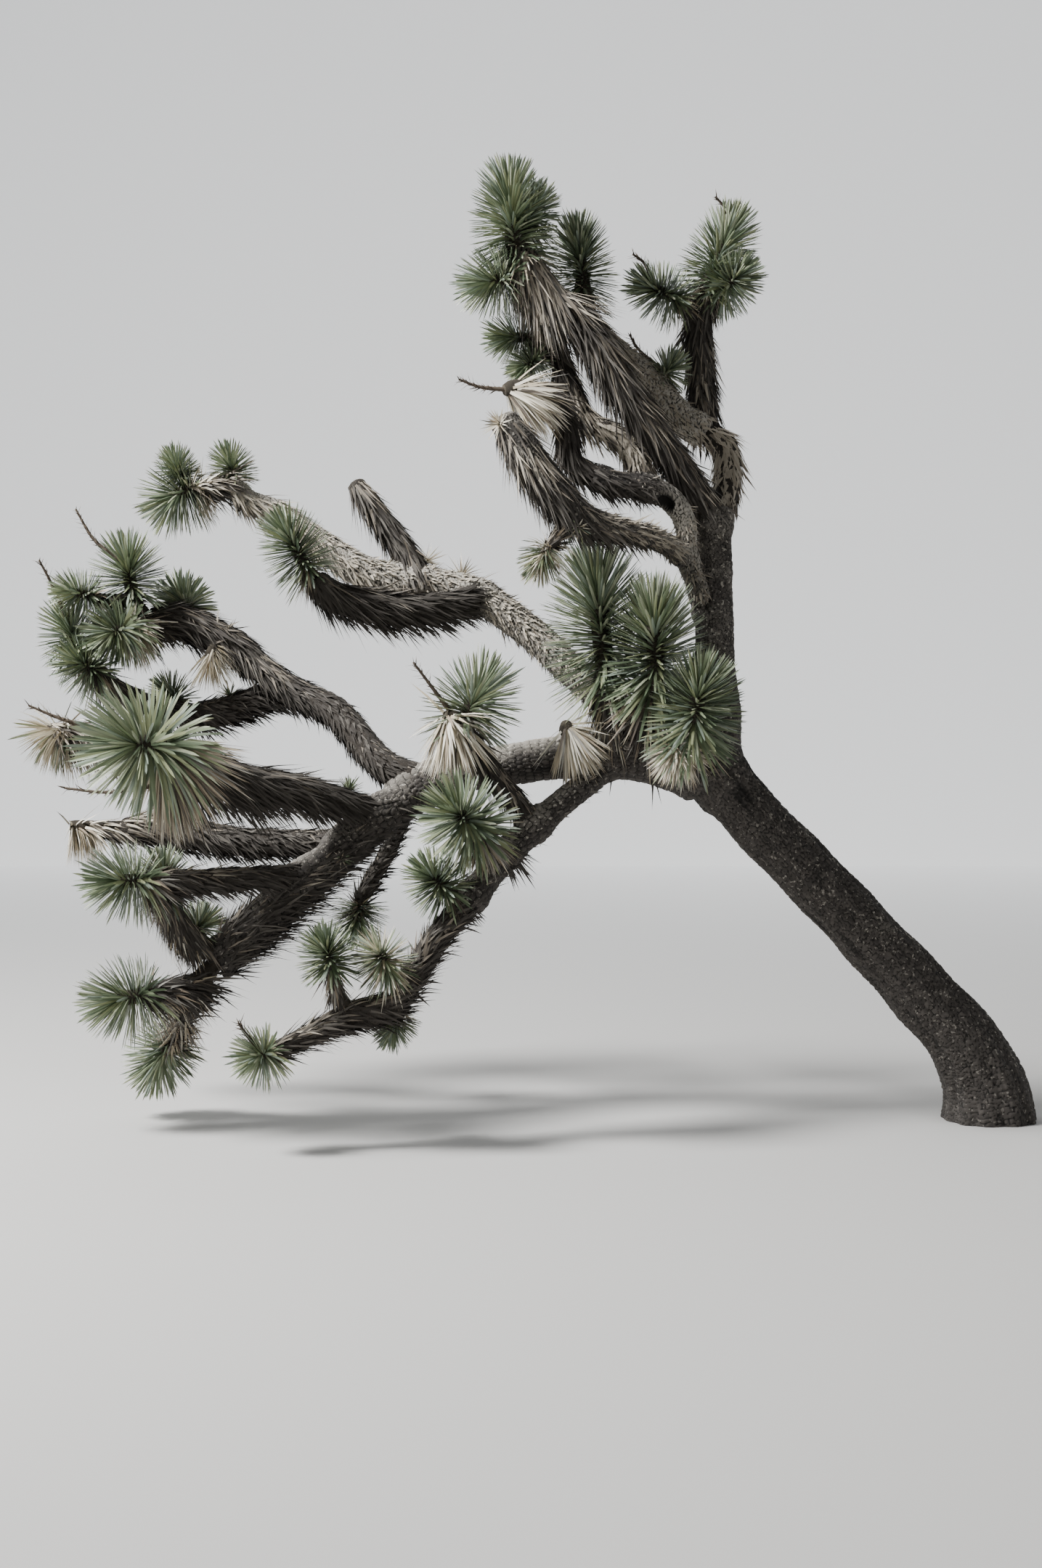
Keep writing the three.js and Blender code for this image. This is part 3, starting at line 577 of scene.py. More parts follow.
@dataclass
class Sweep:
    """A limb or a shoot: a route with a radius along it, in metres."""

    name: str
    route: Route
    radius: Callable[[Array], Array]
    sag: tuple[float, ...] = (0.0, 0.0)
    lumps: float = LUMP
    ridges: float = 0.0

    def frame(self, share: Array) -> tuple[Array, Array, Array]:
        """Finds the tangent and two directions across it, the first the part of +Y that is square to it.

        Args:
            share: Shares of the length.

        Returns:
            Tangent, across and beside, which follow each other by the right hand.
        """
        tangent = self.route.tangent(share)
        back = np.array([0.0, 1.0, 0.0])
        across = unit(back - tangent * dots(back, tangent))
        return tangent, across, np.cross(tangent, across)

    def skin(self, share: Array, angle: Array) -> Patch:
        """Carries a lumpy circle along the route, with long ridges on the trunk, and lets its underside sag.

        Args:
            share: Shares of the length.
            angle: Angles around the limb, from +Y.

        Returns:
            The places on the skin.
        """
        tangent, across, beside = self.frame(share)
        outward = swing(across, beside, angle)
        ring = share * max(2, round(self.route.length / RING_SPACING))
        wave = np.sin(1.7 * ring + 2 * angle) * np.cos(0.9 * ring - 3 * angle)
        reach = self.radius(share) * (1 + self.lumps * wave + self.ridges * self.ridge(ring, angle))
        point = self.route.at(share) + outward * reach[:, None]
        point[:, 2] -= along(self.sag, share) * MM * np.maximum(0.0, -outward[:, 2])
        return Patch(point, outward, tangent, share, angle)

    def girth(self) -> float:
        """Returns the mean radius, but for the two ends."""
        return float(np.mean(self.radius(np.linspace(0.1, 0.9, 9))))

    @staticmethod
    def ridge(ring: Array, angle: Array) -> Array:
        """Rounds each ridge and narrows each furrow, by half a cosine and half its folded root, as they wind.

        Args:
            ring: Places along the limb, in rings.
            angle: Angles around the limb.

        Returns:
            From -1 in a furrow to 1 on a ridge, less where the ridge sinks.
        """
        turn = angle - RIDGE_WINDING * ring
        swell = RIDGE_LEAST + (1 - RIDGE_LEAST) * (1 + np.sin(1.3 * ring + 5 * turn)) / 2
        fold = 2 * np.abs(np.cos(RIDGE_COUNT * turn / 2)) - 1
        return (0.5 * np.cos(RIDGE_COUNT * turn) + 0.5 * fold) * swell

    def rods(self, spacing: float = 0.06, rounded: float = 0.97) -> Array:
        """Cuts the limb into straight tapering rods.

        Args:
            spacing: Length of a rod.
            rounded: Share of the length at which the round tip begins.

        Returns:
            One row a rod: its two ends and their radii.
        """
        share = np.linspace(0.0, 1.0, max(2, round(self.route.length / spacing)) + 1)
        sag = along(self.sag, share) * MM / 2
        middle = self.route.at(share)
        middle[:, 2] -= sag
        radius = (self.radius(np.minimum(share, rounded)) + sag)[:, None]
        return np.hstack([middle[:-1], middle[1:], radius[:-1], radius[1:]])


class Space:
    """The space that the limbs take, for joining them smoothly and for keeping leaves out of them."""

    CHUNK = 6000

    def __init__(self, sweeps: Iterable[Sweep]) -> None:
        """Stacks the rods of all sweeps.

        Args:
            sweeps: The limbs and the stems of the shoots.
        """
        parts = [(sweep.name, sweep.rods()) for sweep in sweeps]
        self.rods = np.vstack([rods for _, rods in parts]).astype(np.float32)
        self.owner = np.concatenate([np.full(len(rods), name, dtype=object) for name, rods in parts])

    def distance(self, points: Array, skip: str) -> Array:
        """Measures to the nearest rod: the distance to its middle line less its radius there.

        Args:
            points: Places to measure from.
            skip: Name of a sweep that is left out.

        Returns:
            Distances, less than nothing inside a limb.
        """
        rods = self.rods[self.owner != skip]
        start, run = rods[:, :3], rods[:, 3:6] - rods[:, :3]
        square = np.maximum(np.sum(run * run, axis=1), 1e-9)
        found = np.empty(len(points))
        for first in range(0, len(points), self.CHUNK):
            away = points[first : first + self.CHUNK, None].astype(np.float32) - start[None]
            t = np.clip(np.einsum("nmk,mk->nm", away, run) / square, 0.0, 1.0)
            gap = np.linalg.norm(away - t[..., None] * run[None], axis=2)
            gap -= rods[:, 6] + (rods[:, 7] - rods[:, 6]) * t
            found[first : first + self.CHUNK] = gap.min(axis=1)
        return found


def link(name: str, data: bpy.types.ID) -> bpy.types.Object:
    """Puts a new object into the scene.

    Args:
        name: Its name.
        data: What it holds.

    Returns:
        The object, at the origin.
    """
    made = bpy.data.objects.new(name, data)
    bpy.context.scene.collection.objects.link(made)
    return made


@dataclass
class MeshBatch:
    """Points, faces and values that become one mesh."""

    points: list[Array] = field(default_factory=list)
    faces: list[Array] = field(default_factory=list)
    values: dict[str, list[Array]] = field(default_factory=dict)
    count: int = 0

    def add(self, points: Array, faces: Iterable[Array], **values: Array) -> None:
        """Takes in one more shape.

        Args:
            points: Its points.
            faces: Its faces, one array for each number of corners.
            **values: A number or a vector for each point, by name.
        """
        self.points.append(points)
        self.faces.extend(np.asarray(part) + self.count for part in faces)
        for name, value in values.items():
            self.values.setdefault(name, []).append(value)
        self.count += len(points)

    def triangles(self) -> int:
        """Returns how many triangles the faces come to."""
        return sum(len(part) * (part.shape[1] - 2) for part in self.faces)

    def build(self, name: str, rounded: bool) -> bpy.types.Object:
        """Writes the arrays into a mesh object at the origin.

        Args:
            name: Name of the piece.
            rounded: Whether the faces are shaded as one smooth surface.

        Returns:
            The object, linked to the scene.
        """
        mesh = bpy.data.meshes.new(name)
        points = np.vstack(self.points)
        mesh.vertices.add(len(points))
        mesh.vertices.foreach_set("co", points.astype(np.float32).ravel())
        corners = np.concatenate([part.ravel() for part in self.faces])
        sizes = np.concatenate([np.full(len(part), part.shape[1]) for part in self.faces])
        mesh.loops.add(len(corners))
        mesh.loops.foreach_set("vertex_index", corners.astype(np.int32))
        mesh.polygons.add(len(sizes))
        mesh.polygons.foreach_set("loop_start", (np.cumsum(sizes) - sizes).astype(np.int32))
        mesh.polygons.foreach_set("use_smooth", np.full(len(sizes), rounded))
        for key, parts in self.values.items():
            value = np.concatenate(parts).astype(np.float32)
            flat = value.ndim == 1
            layer = mesh.attributes.new(key, "FLOAT" if flat else "FLOAT_VECTOR", "POINT")
            layer.data.foreach_set("value" if flat else "vector", value.ravel())
        mesh.update(calc_edges=True)
        mesh.validate()
        return link(name, mesh)


def tube_grid(rings: int, sides: int, start: float = 0.0) -> tuple[Array, Array]:
    """Returns the share and the angle of every point of a tube, ring by ring."""
    return np.repeat(np.linspace(start, 1.0, rings), sides), np.tile(np.arange(sides) * TURN / sides, rings)


def fibre_place(share: Array, angle: Array, girth: float, length: float, stretch: float) -> Array:
    """Lays a tube out straight, for streaks that run along it.

    Args:
        share: Shares of its length.
        angle: Angles around it.
        girth: Its mean radius.
        length: Its length.
        stretch: How many times its length it is laid out to.

    Returns:
        A place for each point, and for the two ends.
    """
    fine = np.stack([np.cos(angle), np.sin(angle), share * length * stretch], axis=-1)
    fine[:, :2] *= girth
    return np.vstack([fine, fine[[0, -1]]])


def tube_faces(rings: int, sides: int) -> list[Array]:
    """Joins rings of points into a closed tube, whose two last points close its ends.

    Args:
        rings: Number of rings.
        sides: Points in a ring.

    Returns:
        The four-cornered faces and the three-cornered ones of the ends, facing outwards.
    """
    i, j = np.meshgrid(np.arange(rings - 1), np.arange(sides), indexing="ij")
    a, b = i * sides + j, i * sides + (j + 1) % sides
    walls = np.stack([a, b, b + sides, a + sides], axis=-1).reshape(-1, 4)
    j = np.arange(sides)
    following = (j + 1) % sides
    last = (rings - 1) * sides
    foot = np.stack([np.full(sides, rings * sides), following, j], axis=-1)
    tip = np.stack([np.full(sides, rings * sides + 1), last + j, last + following], axis=-1)
    return [walls, np.vstack([foot, tip])]


@dataclass(frozen=True)
class BladeShape:
    """The outline of a leaf: where its sections stand, how wide they are, and how deep its keel is."""

    stations: tuple[float, ...]
    widths: tuple[float, ...]
    keel: float

    def faces(self, count: int) -> Array:
        """Joins the sections of each leaf, closes its root and brings it to a point.

        Args:
            count: Number of leaves.

        Returns:
            The triangles of all leaves.
        """
        ring = np.arange(3)
        after = (ring + 1) % 3
        parts = [np.array([[0, 2, 1]])]
        for row in range(len(self.stations) - 1):
            a, b = 3 * row + ring, 3 * row + after
            parts += [np.stack([a, b, b + 3], axis=-1), np.stack([a, b + 3, a + 3], axis=-1)]
        last = 3 * (len(self.stations) - 1)
        tip = 3 * len(self.stations)
        parts.append(np.stack([last + ring, last + after, np.full(3, tip)], axis=-1))
        one = np.vstack(parts)
        return (one[None] + (np.arange(count) * (tip + 1))[:, None, None]).reshape(-1, 3)

    def points(self, blades: Blades) -> Array:
        """Sets a three-cornered section across each station, on a middle line that bends by the square.

        Args:
            blades: The leaves.

        Returns:
            The points of all leaves, section by section and then the tip.
        """
        t = np.array(self.stations)[None, :, None]
        run = (blades.heading * blades.length[:, None])[:, None]
        bend = blades.curl[:, None]
        middle = blades.root[:, None] + run * t + bend * t**2
        side = unit(np.cross(blades.heading, blades.above))
        under = np.cross(blades.heading, side)
        half = np.array(self.widths)[None, :, None] * blades.width[:, None, None] / 2
        left = middle - side[:, None] * half
        right = middle + side[:, None] * half
        low = middle + under[:, None] * half * self.keel
        rings = np.stack([left, right, low], axis=2).reshape(len(run), -1, 3)
        tip = blades.root + run[:, 0] + blades.curl
        return np.concatenate([rings, tip[:, None]], axis=1).reshape(-1, 3)


@dataclass
class Blades(Rows):
    """Many leaves: root, heading, length, width, the side that its flat face turns to, and its bend."""

    root: Array
    heading: Array
    length: Array
    width: Array
    above: Array
    curl: Array

    def reach(self, share: float) -> Array:
        """Returns the places at a share of each leaf's length."""
        return self.root + self.heading * (self.length * share)[:, None] + self.curl * share**2


LIVE_LEAF = BladeShape(stations=(0.0, 0.4, 0.86), widths=(0.75, 1.0, 0.72), keel=0.5)
DEAD_LEAF = BladeShape(stations=(0.0, 0.5), widths=(1.0, 0.8), keel=0.3)


def limb_sweep(name: str, plan: LimbPlan) -> Sweep:
    """Gives a limb its radius: its even girth, a collar at the root, a flare at the trunk's foot, a round tip.

    Args:
        name: Name of the limb.
        plan: Its plan.

    Returns:
        The limb as a sweep.
    """
    route = Route(plan.route)

    def radius(share: Array) -> Array:
        """Adds the flare or the collar, and the tip, to the even girth.

        Args:
            share: Shares of the length.

        Returns:
            The radius at each.
        """
        even = along(plan.girth, share) * MM
        travelled = share * route.length
        if name == "trunk":
            return even + FOOT_FLARE * np.exp(-np.maximum(0.0, travelled - BURIED) / FLARE_LENGTH)
        grown = even * (1 + COLLAR * np.exp(-travelled / (COLLAR_LENGTH * plan.girth[0] * MM)))
        ending = np.clip(1 - (route.length - travelled) / (TIP_LENGTH * plan.girth[-1] * MM), 0.0, 1.0)
        return grown * np.sqrt(1 - TIP_ROUNDING * ending**2)

    return Sweep(name, route, radius, plan.sag, ridges=RIDGE_HEIGHT if name == "trunk" else 0.0)


@dataclass(frozen=True)
class Relief:
    """Bark of one kind: the size of its plates, how deep its cracks and furrows are, and the mesh for it.

    Fork is the size of the smooth join to its neighbours, the top paleness how much paler it is where it faces up,
    which is painted light, and inset how far it lies inside its thatch.
    """

    length: float
    width: float
    depth: float
    jitter: float
    furrow: float
    crack: float
    step: float
    fork: float
    bleached_and_lit: float
    inset: float = 0.0


RELIEFS = {
    Coat.PLATED: Relief(
        length=0.022, width=0.015, depth=0.0055, jitter=0.9, furrow=0.003, crack=0.25, step=0.005, fork=0.05,
        bleached_and_lit=0.15,
    ),
    Coat.SCALED: Relief(
        length=0.034, width=0.02, depth=0.0065, jitter=0.45, furrow=0.002, crack=0.3, step=0.005, fork=0.05,
        bleached_and_lit=0.55,
    ),
    Coat.STUBBY: Relief(
        length=0.016, width=0.013, depth=0.004, jitter=0.95, furrow=0.003, crack=0.4, step=0.006, fork=0.02,
        bleached_and_lit=0.2,
    ),
    Coat.SHAGGY: Relief(
        length=0.05, width=0.012, depth=0.006, jitter=0.9, furrow=0.005, crack=0.6, step=0.012, fork=0.0,
        bleached_and_lit=0.0, inset=0.005,
    ),
}


@dataclass(frozen=True)
class KnotHole:
    """The rotted hole where a bough broke off, open towards -Y.

    Flat is the share of its size that is full depth, and bare how far from its middle no thatch grows.
    """

    limb: str = "hooked_bough"
    share: float = 0.595
    angle: float = 2.4
    size: float = 0.052
    flat: float = 0.45
    depth: float = 0.045
    rim: float = 0.012
    bare: float = 0.115

    def distance(self, sweep: Sweep, points: Array) -> Array:
        """Measures from the hole's middle.

        Args:
            sweep: The limb that the points lie on.
            points: Places to measure from.

        Returns:
            The distances, or 1 m for each where the limb has no hole.
        """
        if sweep.name != self.limb:
            return np.ones(len(points))
        centre = sweep.skin(np.array([self.share]), np.array([self.angle])).point
        return np.linalg.norm(points - centre, axis=1)

    def opening(self, sweep: Sweep, points: Array) -> Array:
        """Returns how deep each point lies in the hole, from 0 to 1."""
        return 1 - smooth(self.distance(sweep, points), self.flat * self.size, self.size)


HOLE = KnotHole()


@dataclass
class Bark:
    """The skins of the limbs, joined smoothly where one grows out of another.

    Scales are in steps of the noise per metre.
    """

    space: Space
    grain: Grain
    rounds: int = 5
    wander: float = 0.6
    wander_scale: float = 14.0
    furrow_scales: tuple[float, float] = (22.0, 5.0)
    rough: float = 0.003
    rough_scale: float = 70.0
    blotch: float = 0.5
    blotch_scale: float = 6.0
    # Painted shade: how much darker the skin is where it faces down
    shaded: float = 0.25
    root_rounding: float = 0.96
    foot_blend: float = 0.13

    def joined(self, sweep: Sweep, patch: Patch, fork: float) -> Array:
        """Moves the skin outwards to the smooth union of the limb with its neighbours.

        The union's value is the lesser of the two distances less a quarter of the fork size times the square of
        how near to equal they are.

        Args:
            sweep: The limb.
            patch: Its skin.
            fork: Size of the fork that is filled.

        Returns:
            The moved points.
        """
        points = patch.point.copy()
        near = np.flatnonzero(self.space.distance(points, sweep.name) < fork)
        lifted = np.zeros(len(near))
        for _ in range(self.rounds):
            other = self.space.distance(points[near], sweep.name)
            equal = np.maximum(fork - np.abs(lifted - other), 0.0) / fork
            value = np.minimum(lifted, other) - equal**2 * fork / 4
            lifted = np.clip(lifted + 0.9 * np.clip(-value, 0.0, fork / 6), 0.0, fork / 3)
            points[near] = patch.point[near] + patch.outward[near] * lifted[:, None]
        return points

    def relief(self, sweep: Sweep, kind: Relief, patch: Patch) -> tuple[Array, Array, Array]:
        """Raises plates between cracks, and waves in long furrows.

        Args:
            sweep: The limb.
            kind: Its bark.
            patch: Its skin.

        Returns:
            Height, how clear of a crack each point is, and the tone of its plate.
        """
        girth = sweep.girth()
        around = max(6, round(TURN * girth / kind.width))
        travelled = patch.share * sweep.route.length
        wander = self.wander * (self.grain.at(patch.point, self.wander_scale) - 0.5)
        clear, own = self.grain.cells(
            travelled / kind.length + wander, patch.angle / TURN * around + wander, around, kind.jitter
        )
        raised = smooth(clear, 0.02, kind.crack)
        across, lengthwise = self.furrow_scales
        circle = [np.cos(patch.angle) * girth * across, np.sin(patch.angle) * girth * across]
        furrow = self.grain.layered(np.stack([*circle, travelled * lengthwise], axis=-1), 1.0, 2) - 0.5
        rough = self.grain.layered(patch.point, self.rough_scale, 2) - 0.5
        plates = kind.depth * (raised * (0.7 + 0.6 * own) - 0.6)
        height = plates + kind.furrow * 2 * furrow + self.rough * rough
        # Painted shade: the deepest furrows are marked like cracks, so they take the dark crack colour
        return height, raised * smooth(furrow, -0.42, -0.12), own

    def add(self, batch: MeshBatch, sweep: Sweep, plan: LimbPlan) -> None:
        """Lays one limb's skin into a batch, as rings round its route.

        Args:
            batch: Where it goes.
            sweep: The limb.
            plan: Its plan.
        """
        kind = RELIEFS[plan.coat]
        length = sweep.route.length
        start = self.foot_share(sweep)
        rings = round(length * (1 - start) / kind.step) + 1
        sides = round(TURN * max(plan.girth) * MM / kind.step)
        share, angle = tube_grid(rings, sides, start)
        patch = sweep.skin(share, angle)
        inset = np.full(len(share), kind.inset)
        if not start:
            girth = sweep.radius(share)
            short = 1 - np.minimum(1.0, share * length / girth)
            inset += girth * (1 - np.sqrt(1 - self.root_rounding * short**2))
        points = self.joined(sweep, patch, kind.fork) if kind.fork else patch.point
        height, clear, tone = self.relief(sweep, kind, patch)
        pit = HOLE.opening(sweep, patch.point)
        rim = HOLE.rim * np.sin(np.pi * smooth(pit, 0.0, 0.6)) * (pit < 0.6)
        points = points + patch.outward * (height * (1 - pit) + rim - HOLE.depth * pit - inset)[:, None]
        ends = sweep.route.at(np.array([start, 1.0]))
        if start:
            points = self.level_foot(sweep, patch, points)
            ends[0, 2] = 0.0
        upward = patch.outward[:, 2]
        # Painted light and shade: paler where the skin faces up and darker where it faces down
        painted_light_and_shade = kind.bleached_and_lit * np.maximum(0.0, upward) + self.shaded * np.minimum(0.0, upward)
        blotches = self.blotch * (self.grain.layered(patch.point, self.blotch_scale) - 0.5)
        pale = along(plan.pale, share) + painted_light_and_shade + blotches
        batch.add(
            np.vstack([points, ends]),
            tube_faces(rings, sides),
            # Painted shade: the knot hole is marked like a crack, so it takes the dark crack colour
            clear=np.append(clear * (1 - smooth(pit, 0.1, 0.5)), [0.0, 0.0]),
            tone=np.append(tone, [0.5, 0.5]),
            pale=np.append(pale, pale[[0, -1]]),
            fine=fibre_place(share, angle, np.mean(plan.girth) * MM, length, 3),
        )

    def foot_share(self, sweep: Sweep) -> float:
        """Finds where a limb's skin begins.

        Args:
            sweep: The limb.

        Returns:
            The share at which the trunk's middle line leaves the ground, and 0 for any other limb.
        """
        if sweep.name != "trunk":
            return 0.0
        return float(np.interp(0.0, sweep.route.samples[:, 2], sweep.route.shares))

    def level_foot(self, sweep: Sweep, patch: Patch, points: Array) -> Array:
        """Slides the rings near the foot along the trunk until the lowest ring lies flat on the ground.

        The slide is each point's height over its ring's middle, over the trunk's slope, and dies away upwards.

        Args:
            sweep: The trunk.
            patch: Its skin.
            points: The points to slide.

        Returns:
            The points, none of them below the ground.
        """
        middle = sweep.route.at(patch.share)
        above = points[:, 2] - middle[:, 2]
        travelled = (patch.share - patch.share[0]) * sweep.route.length
        slide = -above / patch.tangent[:, 2] * np.exp(-travelled / self.foot_blend)
        moved = points + patch.tangent * slide[:, None]
        moved[:, 2] = np.maximum(moved[:, 2], 0.0)
        return moved


@dataclass
class LeafStore:
    """Leaves sorted by tone, kept within the tree's box, and built as one piece for each tone."""

    low: Array
    high: Array
    space: Space
    batches: dict[str, MeshBatch] = field(default_factory=dict)

    TESTED = (0.45, 0.75, 1.0)

    def clear(self, blades: Blades, skip: str, depth: float) -> Array:
        """Finds the leaves that stay in the box and out of the limbs.

        Args:
            blades: The leaves.
            skip: The limb that bears them, which they may cross.
            depth: How deep they may lie in the others.

        Returns:
            Which leaves do.
        """
        free = np.ones(len(blades.root), bool)
        for share in self.TESTED:
            place = blades.reach(share)
            free &= np.all((place > self.low) & (place < self.high), axis=1)
            free &= self.space.distance(place, skip) > -depth
        return free

    def add(self, shape: BladeShape, blades: Blades, tone: Array, names: tuple[str, ...]) -> None:
        """Sorts leaves into the batches of their tones.

        Args:
            shape: Their outline.
            blades: The leaves.
            tone: For each leaf, the place of its tone in names.
            names: The pieces that the tones belong to.
        """
        for place, name in enumerate(names):
            chosen = blades.pick(tone == place)
            if len(chosen.root):
                batch = self.batches.setdefault(name, MeshBatch())
                batch.add(shape.points(chosen), [shape.faces(len(chosen.root))])


LIVE_NAMES = ("sage_leaves", "deep_leaves", "olive_leaves", "light_leaves", "grey_green_leaves")
# Odds of the live tones: the first for leaves given painted light (young ones near the tip), the second for leaves
# given painted shade (older ones, tufts, most leaves of dark heads)
LIT_YOUNG_ODDS = (0.3, 0.06, 0.14, 0.3, 0.2)
SHADED_OLD_ODDS = (0.26, 0.4, 0.2, 0.04, 0.1)
DEAD_NAMES = ("cream_dead_leaves", "straw_dead_leaves", "tan_dead_leaves", "ash_dead_leaves", "umber_dead_leaves")
DEAD_ODDS = {
    Fade.PALE: (0.58, 0.26, 0.08, 0.06, 0.02),
    Fade.MIXED: (0.1, 0.24, 0.24, 0.24, 0.18),
    Fade.DARK: (0.02, 0.1, 0.2, 0.3, 0.38),
}
THATCH_NAMES = ("straw_thatch", "tan_thatch", "ash_thatch", "umber_thatch")
SHEATH = {Fade.PALE: 0.3, Fade.MIXED: 0.1, Fade.DARK: -0.15}


@dataclass
class Thatch:
    """The dead leaves that lie bent back along the shaggy limbs, and the stubs of leaf bases on pale bark.

    Cell is the area of bark for each leaf.
    """

    store: LeafStore
    grain: Grain
    rng: np.random.Generator
    cell: float = 0.0165 * 0.018

    GOLDEN_STEPS = (0.7548776662, 0.5698402910)
    TONE_BOUNDS = (-0.82, -0.6, -0.38)
    LEAST_LIFT = 0.05
    SIDEWAYS = 0.24
    SUNK = 0.007
    CROSSING = 0.02
    # Ranges from which each leaf's or stub's own value is drawn
    LENGTHS = (0.55, 1.12)
    WIDTHS = (0.0075, 0.014)
    WEIGHTS = (0.3, 1.7)
    CURLS = (-0.06, 0.12)
    DROOPS = (0.0, 0.18)
    STUB_LENGTHS = (0.02, 0.056)
    STUB_WIDTHS = (0.008, 0.014)
    STUB_LIFTS = (0.25, 1.0)
    STUB_WEIGHTS = (0.0, 0.15)

    def scatter(self, sweep: Sweep, density: Iterable[float], spacing: float, first: float) -> Patch:
        """Spreads places evenly over a limb by the two-step golden sequence and thins them by the density.

        Args:
            sweep: The limb.
            density: Share of the places that are kept, at even steps along it.
            spacing: Multiplies the distance between places.
            first: Share of the length before which there are none.

        Returns:
            The places, none of them near the knot hole.
        """
        count = int(sweep.route.length * TURN * sweep.girth() / (self.cell * spacing**2))
        order = np.arange(1, count + 1)
        share, turn = (np.mod(order * step, 1.0) for step in self.GOLDEN_STEPS)
        share = first + (1 - first) * share
        angle = TURN * turn
        kept = self.rng.random(count) < along(density, share)
        patch = sweep.skin(share[kept], angle[kept])
        return patch.pick(HOLE.distance(sweep, patch.point) > HOLE.bare)

    def comb(self, patch: Patch, lift: Array, weight: Array) -> Array:
        """Points leaves back to the limb's root, lifts them off its skin and lets them hang.

        Args:
            patch: Where they grow.
            lift: Their angles to the skin.
            weight: Their pulls downwards.

        Returns:
            The headings.
        """
        lift = lift[:, None]
        aside = unit(np.cross(patch.tangent, patch.outward)) * self.rng.normal(0.0, self.SIDEWAYS, lift.shape)
        heading = patch.outward * np.sin(lift) - patch.tangent * np.cos(lift) + aside
        heading[:, 2] -= weight
        inward = np.minimum(0.0, dots(heading, patch.outward) - self.LEAST_LIFT)
        return unit(heading - patch.outward * inward)

    def strew(self, name: str, patch: Patch, length: Array, pale: Array | float, hang: float = 0.25) -> None:
        """Lays long dead leaves on a patch, most of them close and a few standing off.

        Args:
            name: Name of the limb or shoot that bears them.
            patch: Where they grow.
            length: Their longest lengths.
            pale: How much paler they are than the usual.
            hang: Their mean pull downwards.
        """
        count = len(patch.share)
        if not count:
            return
        weight = hang * self.rng.uniform(*self.WEIGHTS, count)
        heading = self.comb(patch, 0.06 + 0.5 * self.rng.random(count) ** 2, weight)
        length = length * self.rng.uniform(*self.LENGTHS, count)
        curl = patch.outward * (length * self.rng.uniform(*self.CURLS, count))[:, None]
        curl[:, 2] -= length * self.rng.uniform(*self.DROOPS, count)
        root = patch.point - patch.outward * self.SUNK
        blades = Blades(root, heading, length, self.rng.uniform(*self.WIDTHS, count), patch.outward, curl)
        self.sort(blades, name, patch, pale)

    def cover(self, sweep: Sweep, plan: LimbPlan) -> None:
        """Covers one limb with the dead leaves that its plan asks for, on scaled bark only underneath.

        Args:
            sweep: The limb.
            plan: Its plan.
        """
        patch = self.scatter(sweep, plan.shag, 1.0, 0.02)
        if plan.coat is Coat.SCALED:
            patch = patch.pick(patch.outward[:, 2] < 0.4 + 3.0 * np.maximum(0.0, patch.share - 0.72))
        self.strew(sweep.name, patch, along(plan.fringe, patch.share) * MM, along(plan.pale, patch.share))

    def sheathe(self, head: Head) -> None:
        """Covers the stem of a shoot, up to its lowest live leaves.

        Args:
            head: The shoot.
        """
        patch = self.scatter(head.sweep(), (1.0, 1.0), 0.9, 0.0)
        patch = patch.pick(patch.share < head.bare + 0.1)
        plan = head.plan
        length = np.full(len(patch.share), (0.55 + 0.25 * plan.hang) * plan.leaf * MM)
        self.strew(head.name, patch, length, SHEATH[plan.fade], 0.4 * plan.hang)

    def stubs(self, sweep: Sweep, plan: LimbPlan) -> None:
        """Studs pale bark with the short broken bases of its old leaves.

        Args:
            sweep: The limb.
            plan: Its plan.
        """
        patch = self.scatter(sweep, [1.0 - share for share in plan.shag], 1.0, 0.06)
        count = len(patch.share)
        length = self.rng.uniform(*self.STUB_LENGTHS, count)
        lift = self.rng.uniform(*self.STUB_LIFTS, count)
        heading = self.comb(patch, lift, self.rng.uniform(*self.STUB_WEIGHTS, count))
        root = patch.point - patch.outward * 0.006
        blades = Blades(root, heading, length, self.rng.uniform(*self.STUB_WIDTHS, count), patch.outward, 0 * heading)
        self.sort(blades, sweep.name, patch, 0.3 + 0.55 * along(plan.pale, patch.share))

    def sort(self, blades: Blades, name: str, patch: Patch, pale: Array | float) -> None:
        """Keeps the leaves that are clear of other limbs and deals out their tones, with painted shade underneath and
        painted light on top.

        Args:
            blades: The leaves.
            name: The limb that bears them.
            patch: Where they grow.
            pale: How much paler they are than the usual.
        """
        free = self.store.clear(blades, name, self.CROSSING)
        free &= blades.reach(1.0)[:, 2] > 0.01
        patchy = self.grain.layered(patch.point, 5.0)
        # Painted light and shade: thatch on top of a limb takes lighter tones and thatch underneath darker ones
        bright = patchy + 0.35 * patch.outward[:, 2] + 0.7 * (self.rng.random(len(free)) - 0.5) + pale - 0.28
        tone = np.digitize(-bright, self.TONE_BOUNDS)
        self.store.add(DEAD_LEAF, blades.pick(free), tone[free], THATCH_NAMES)


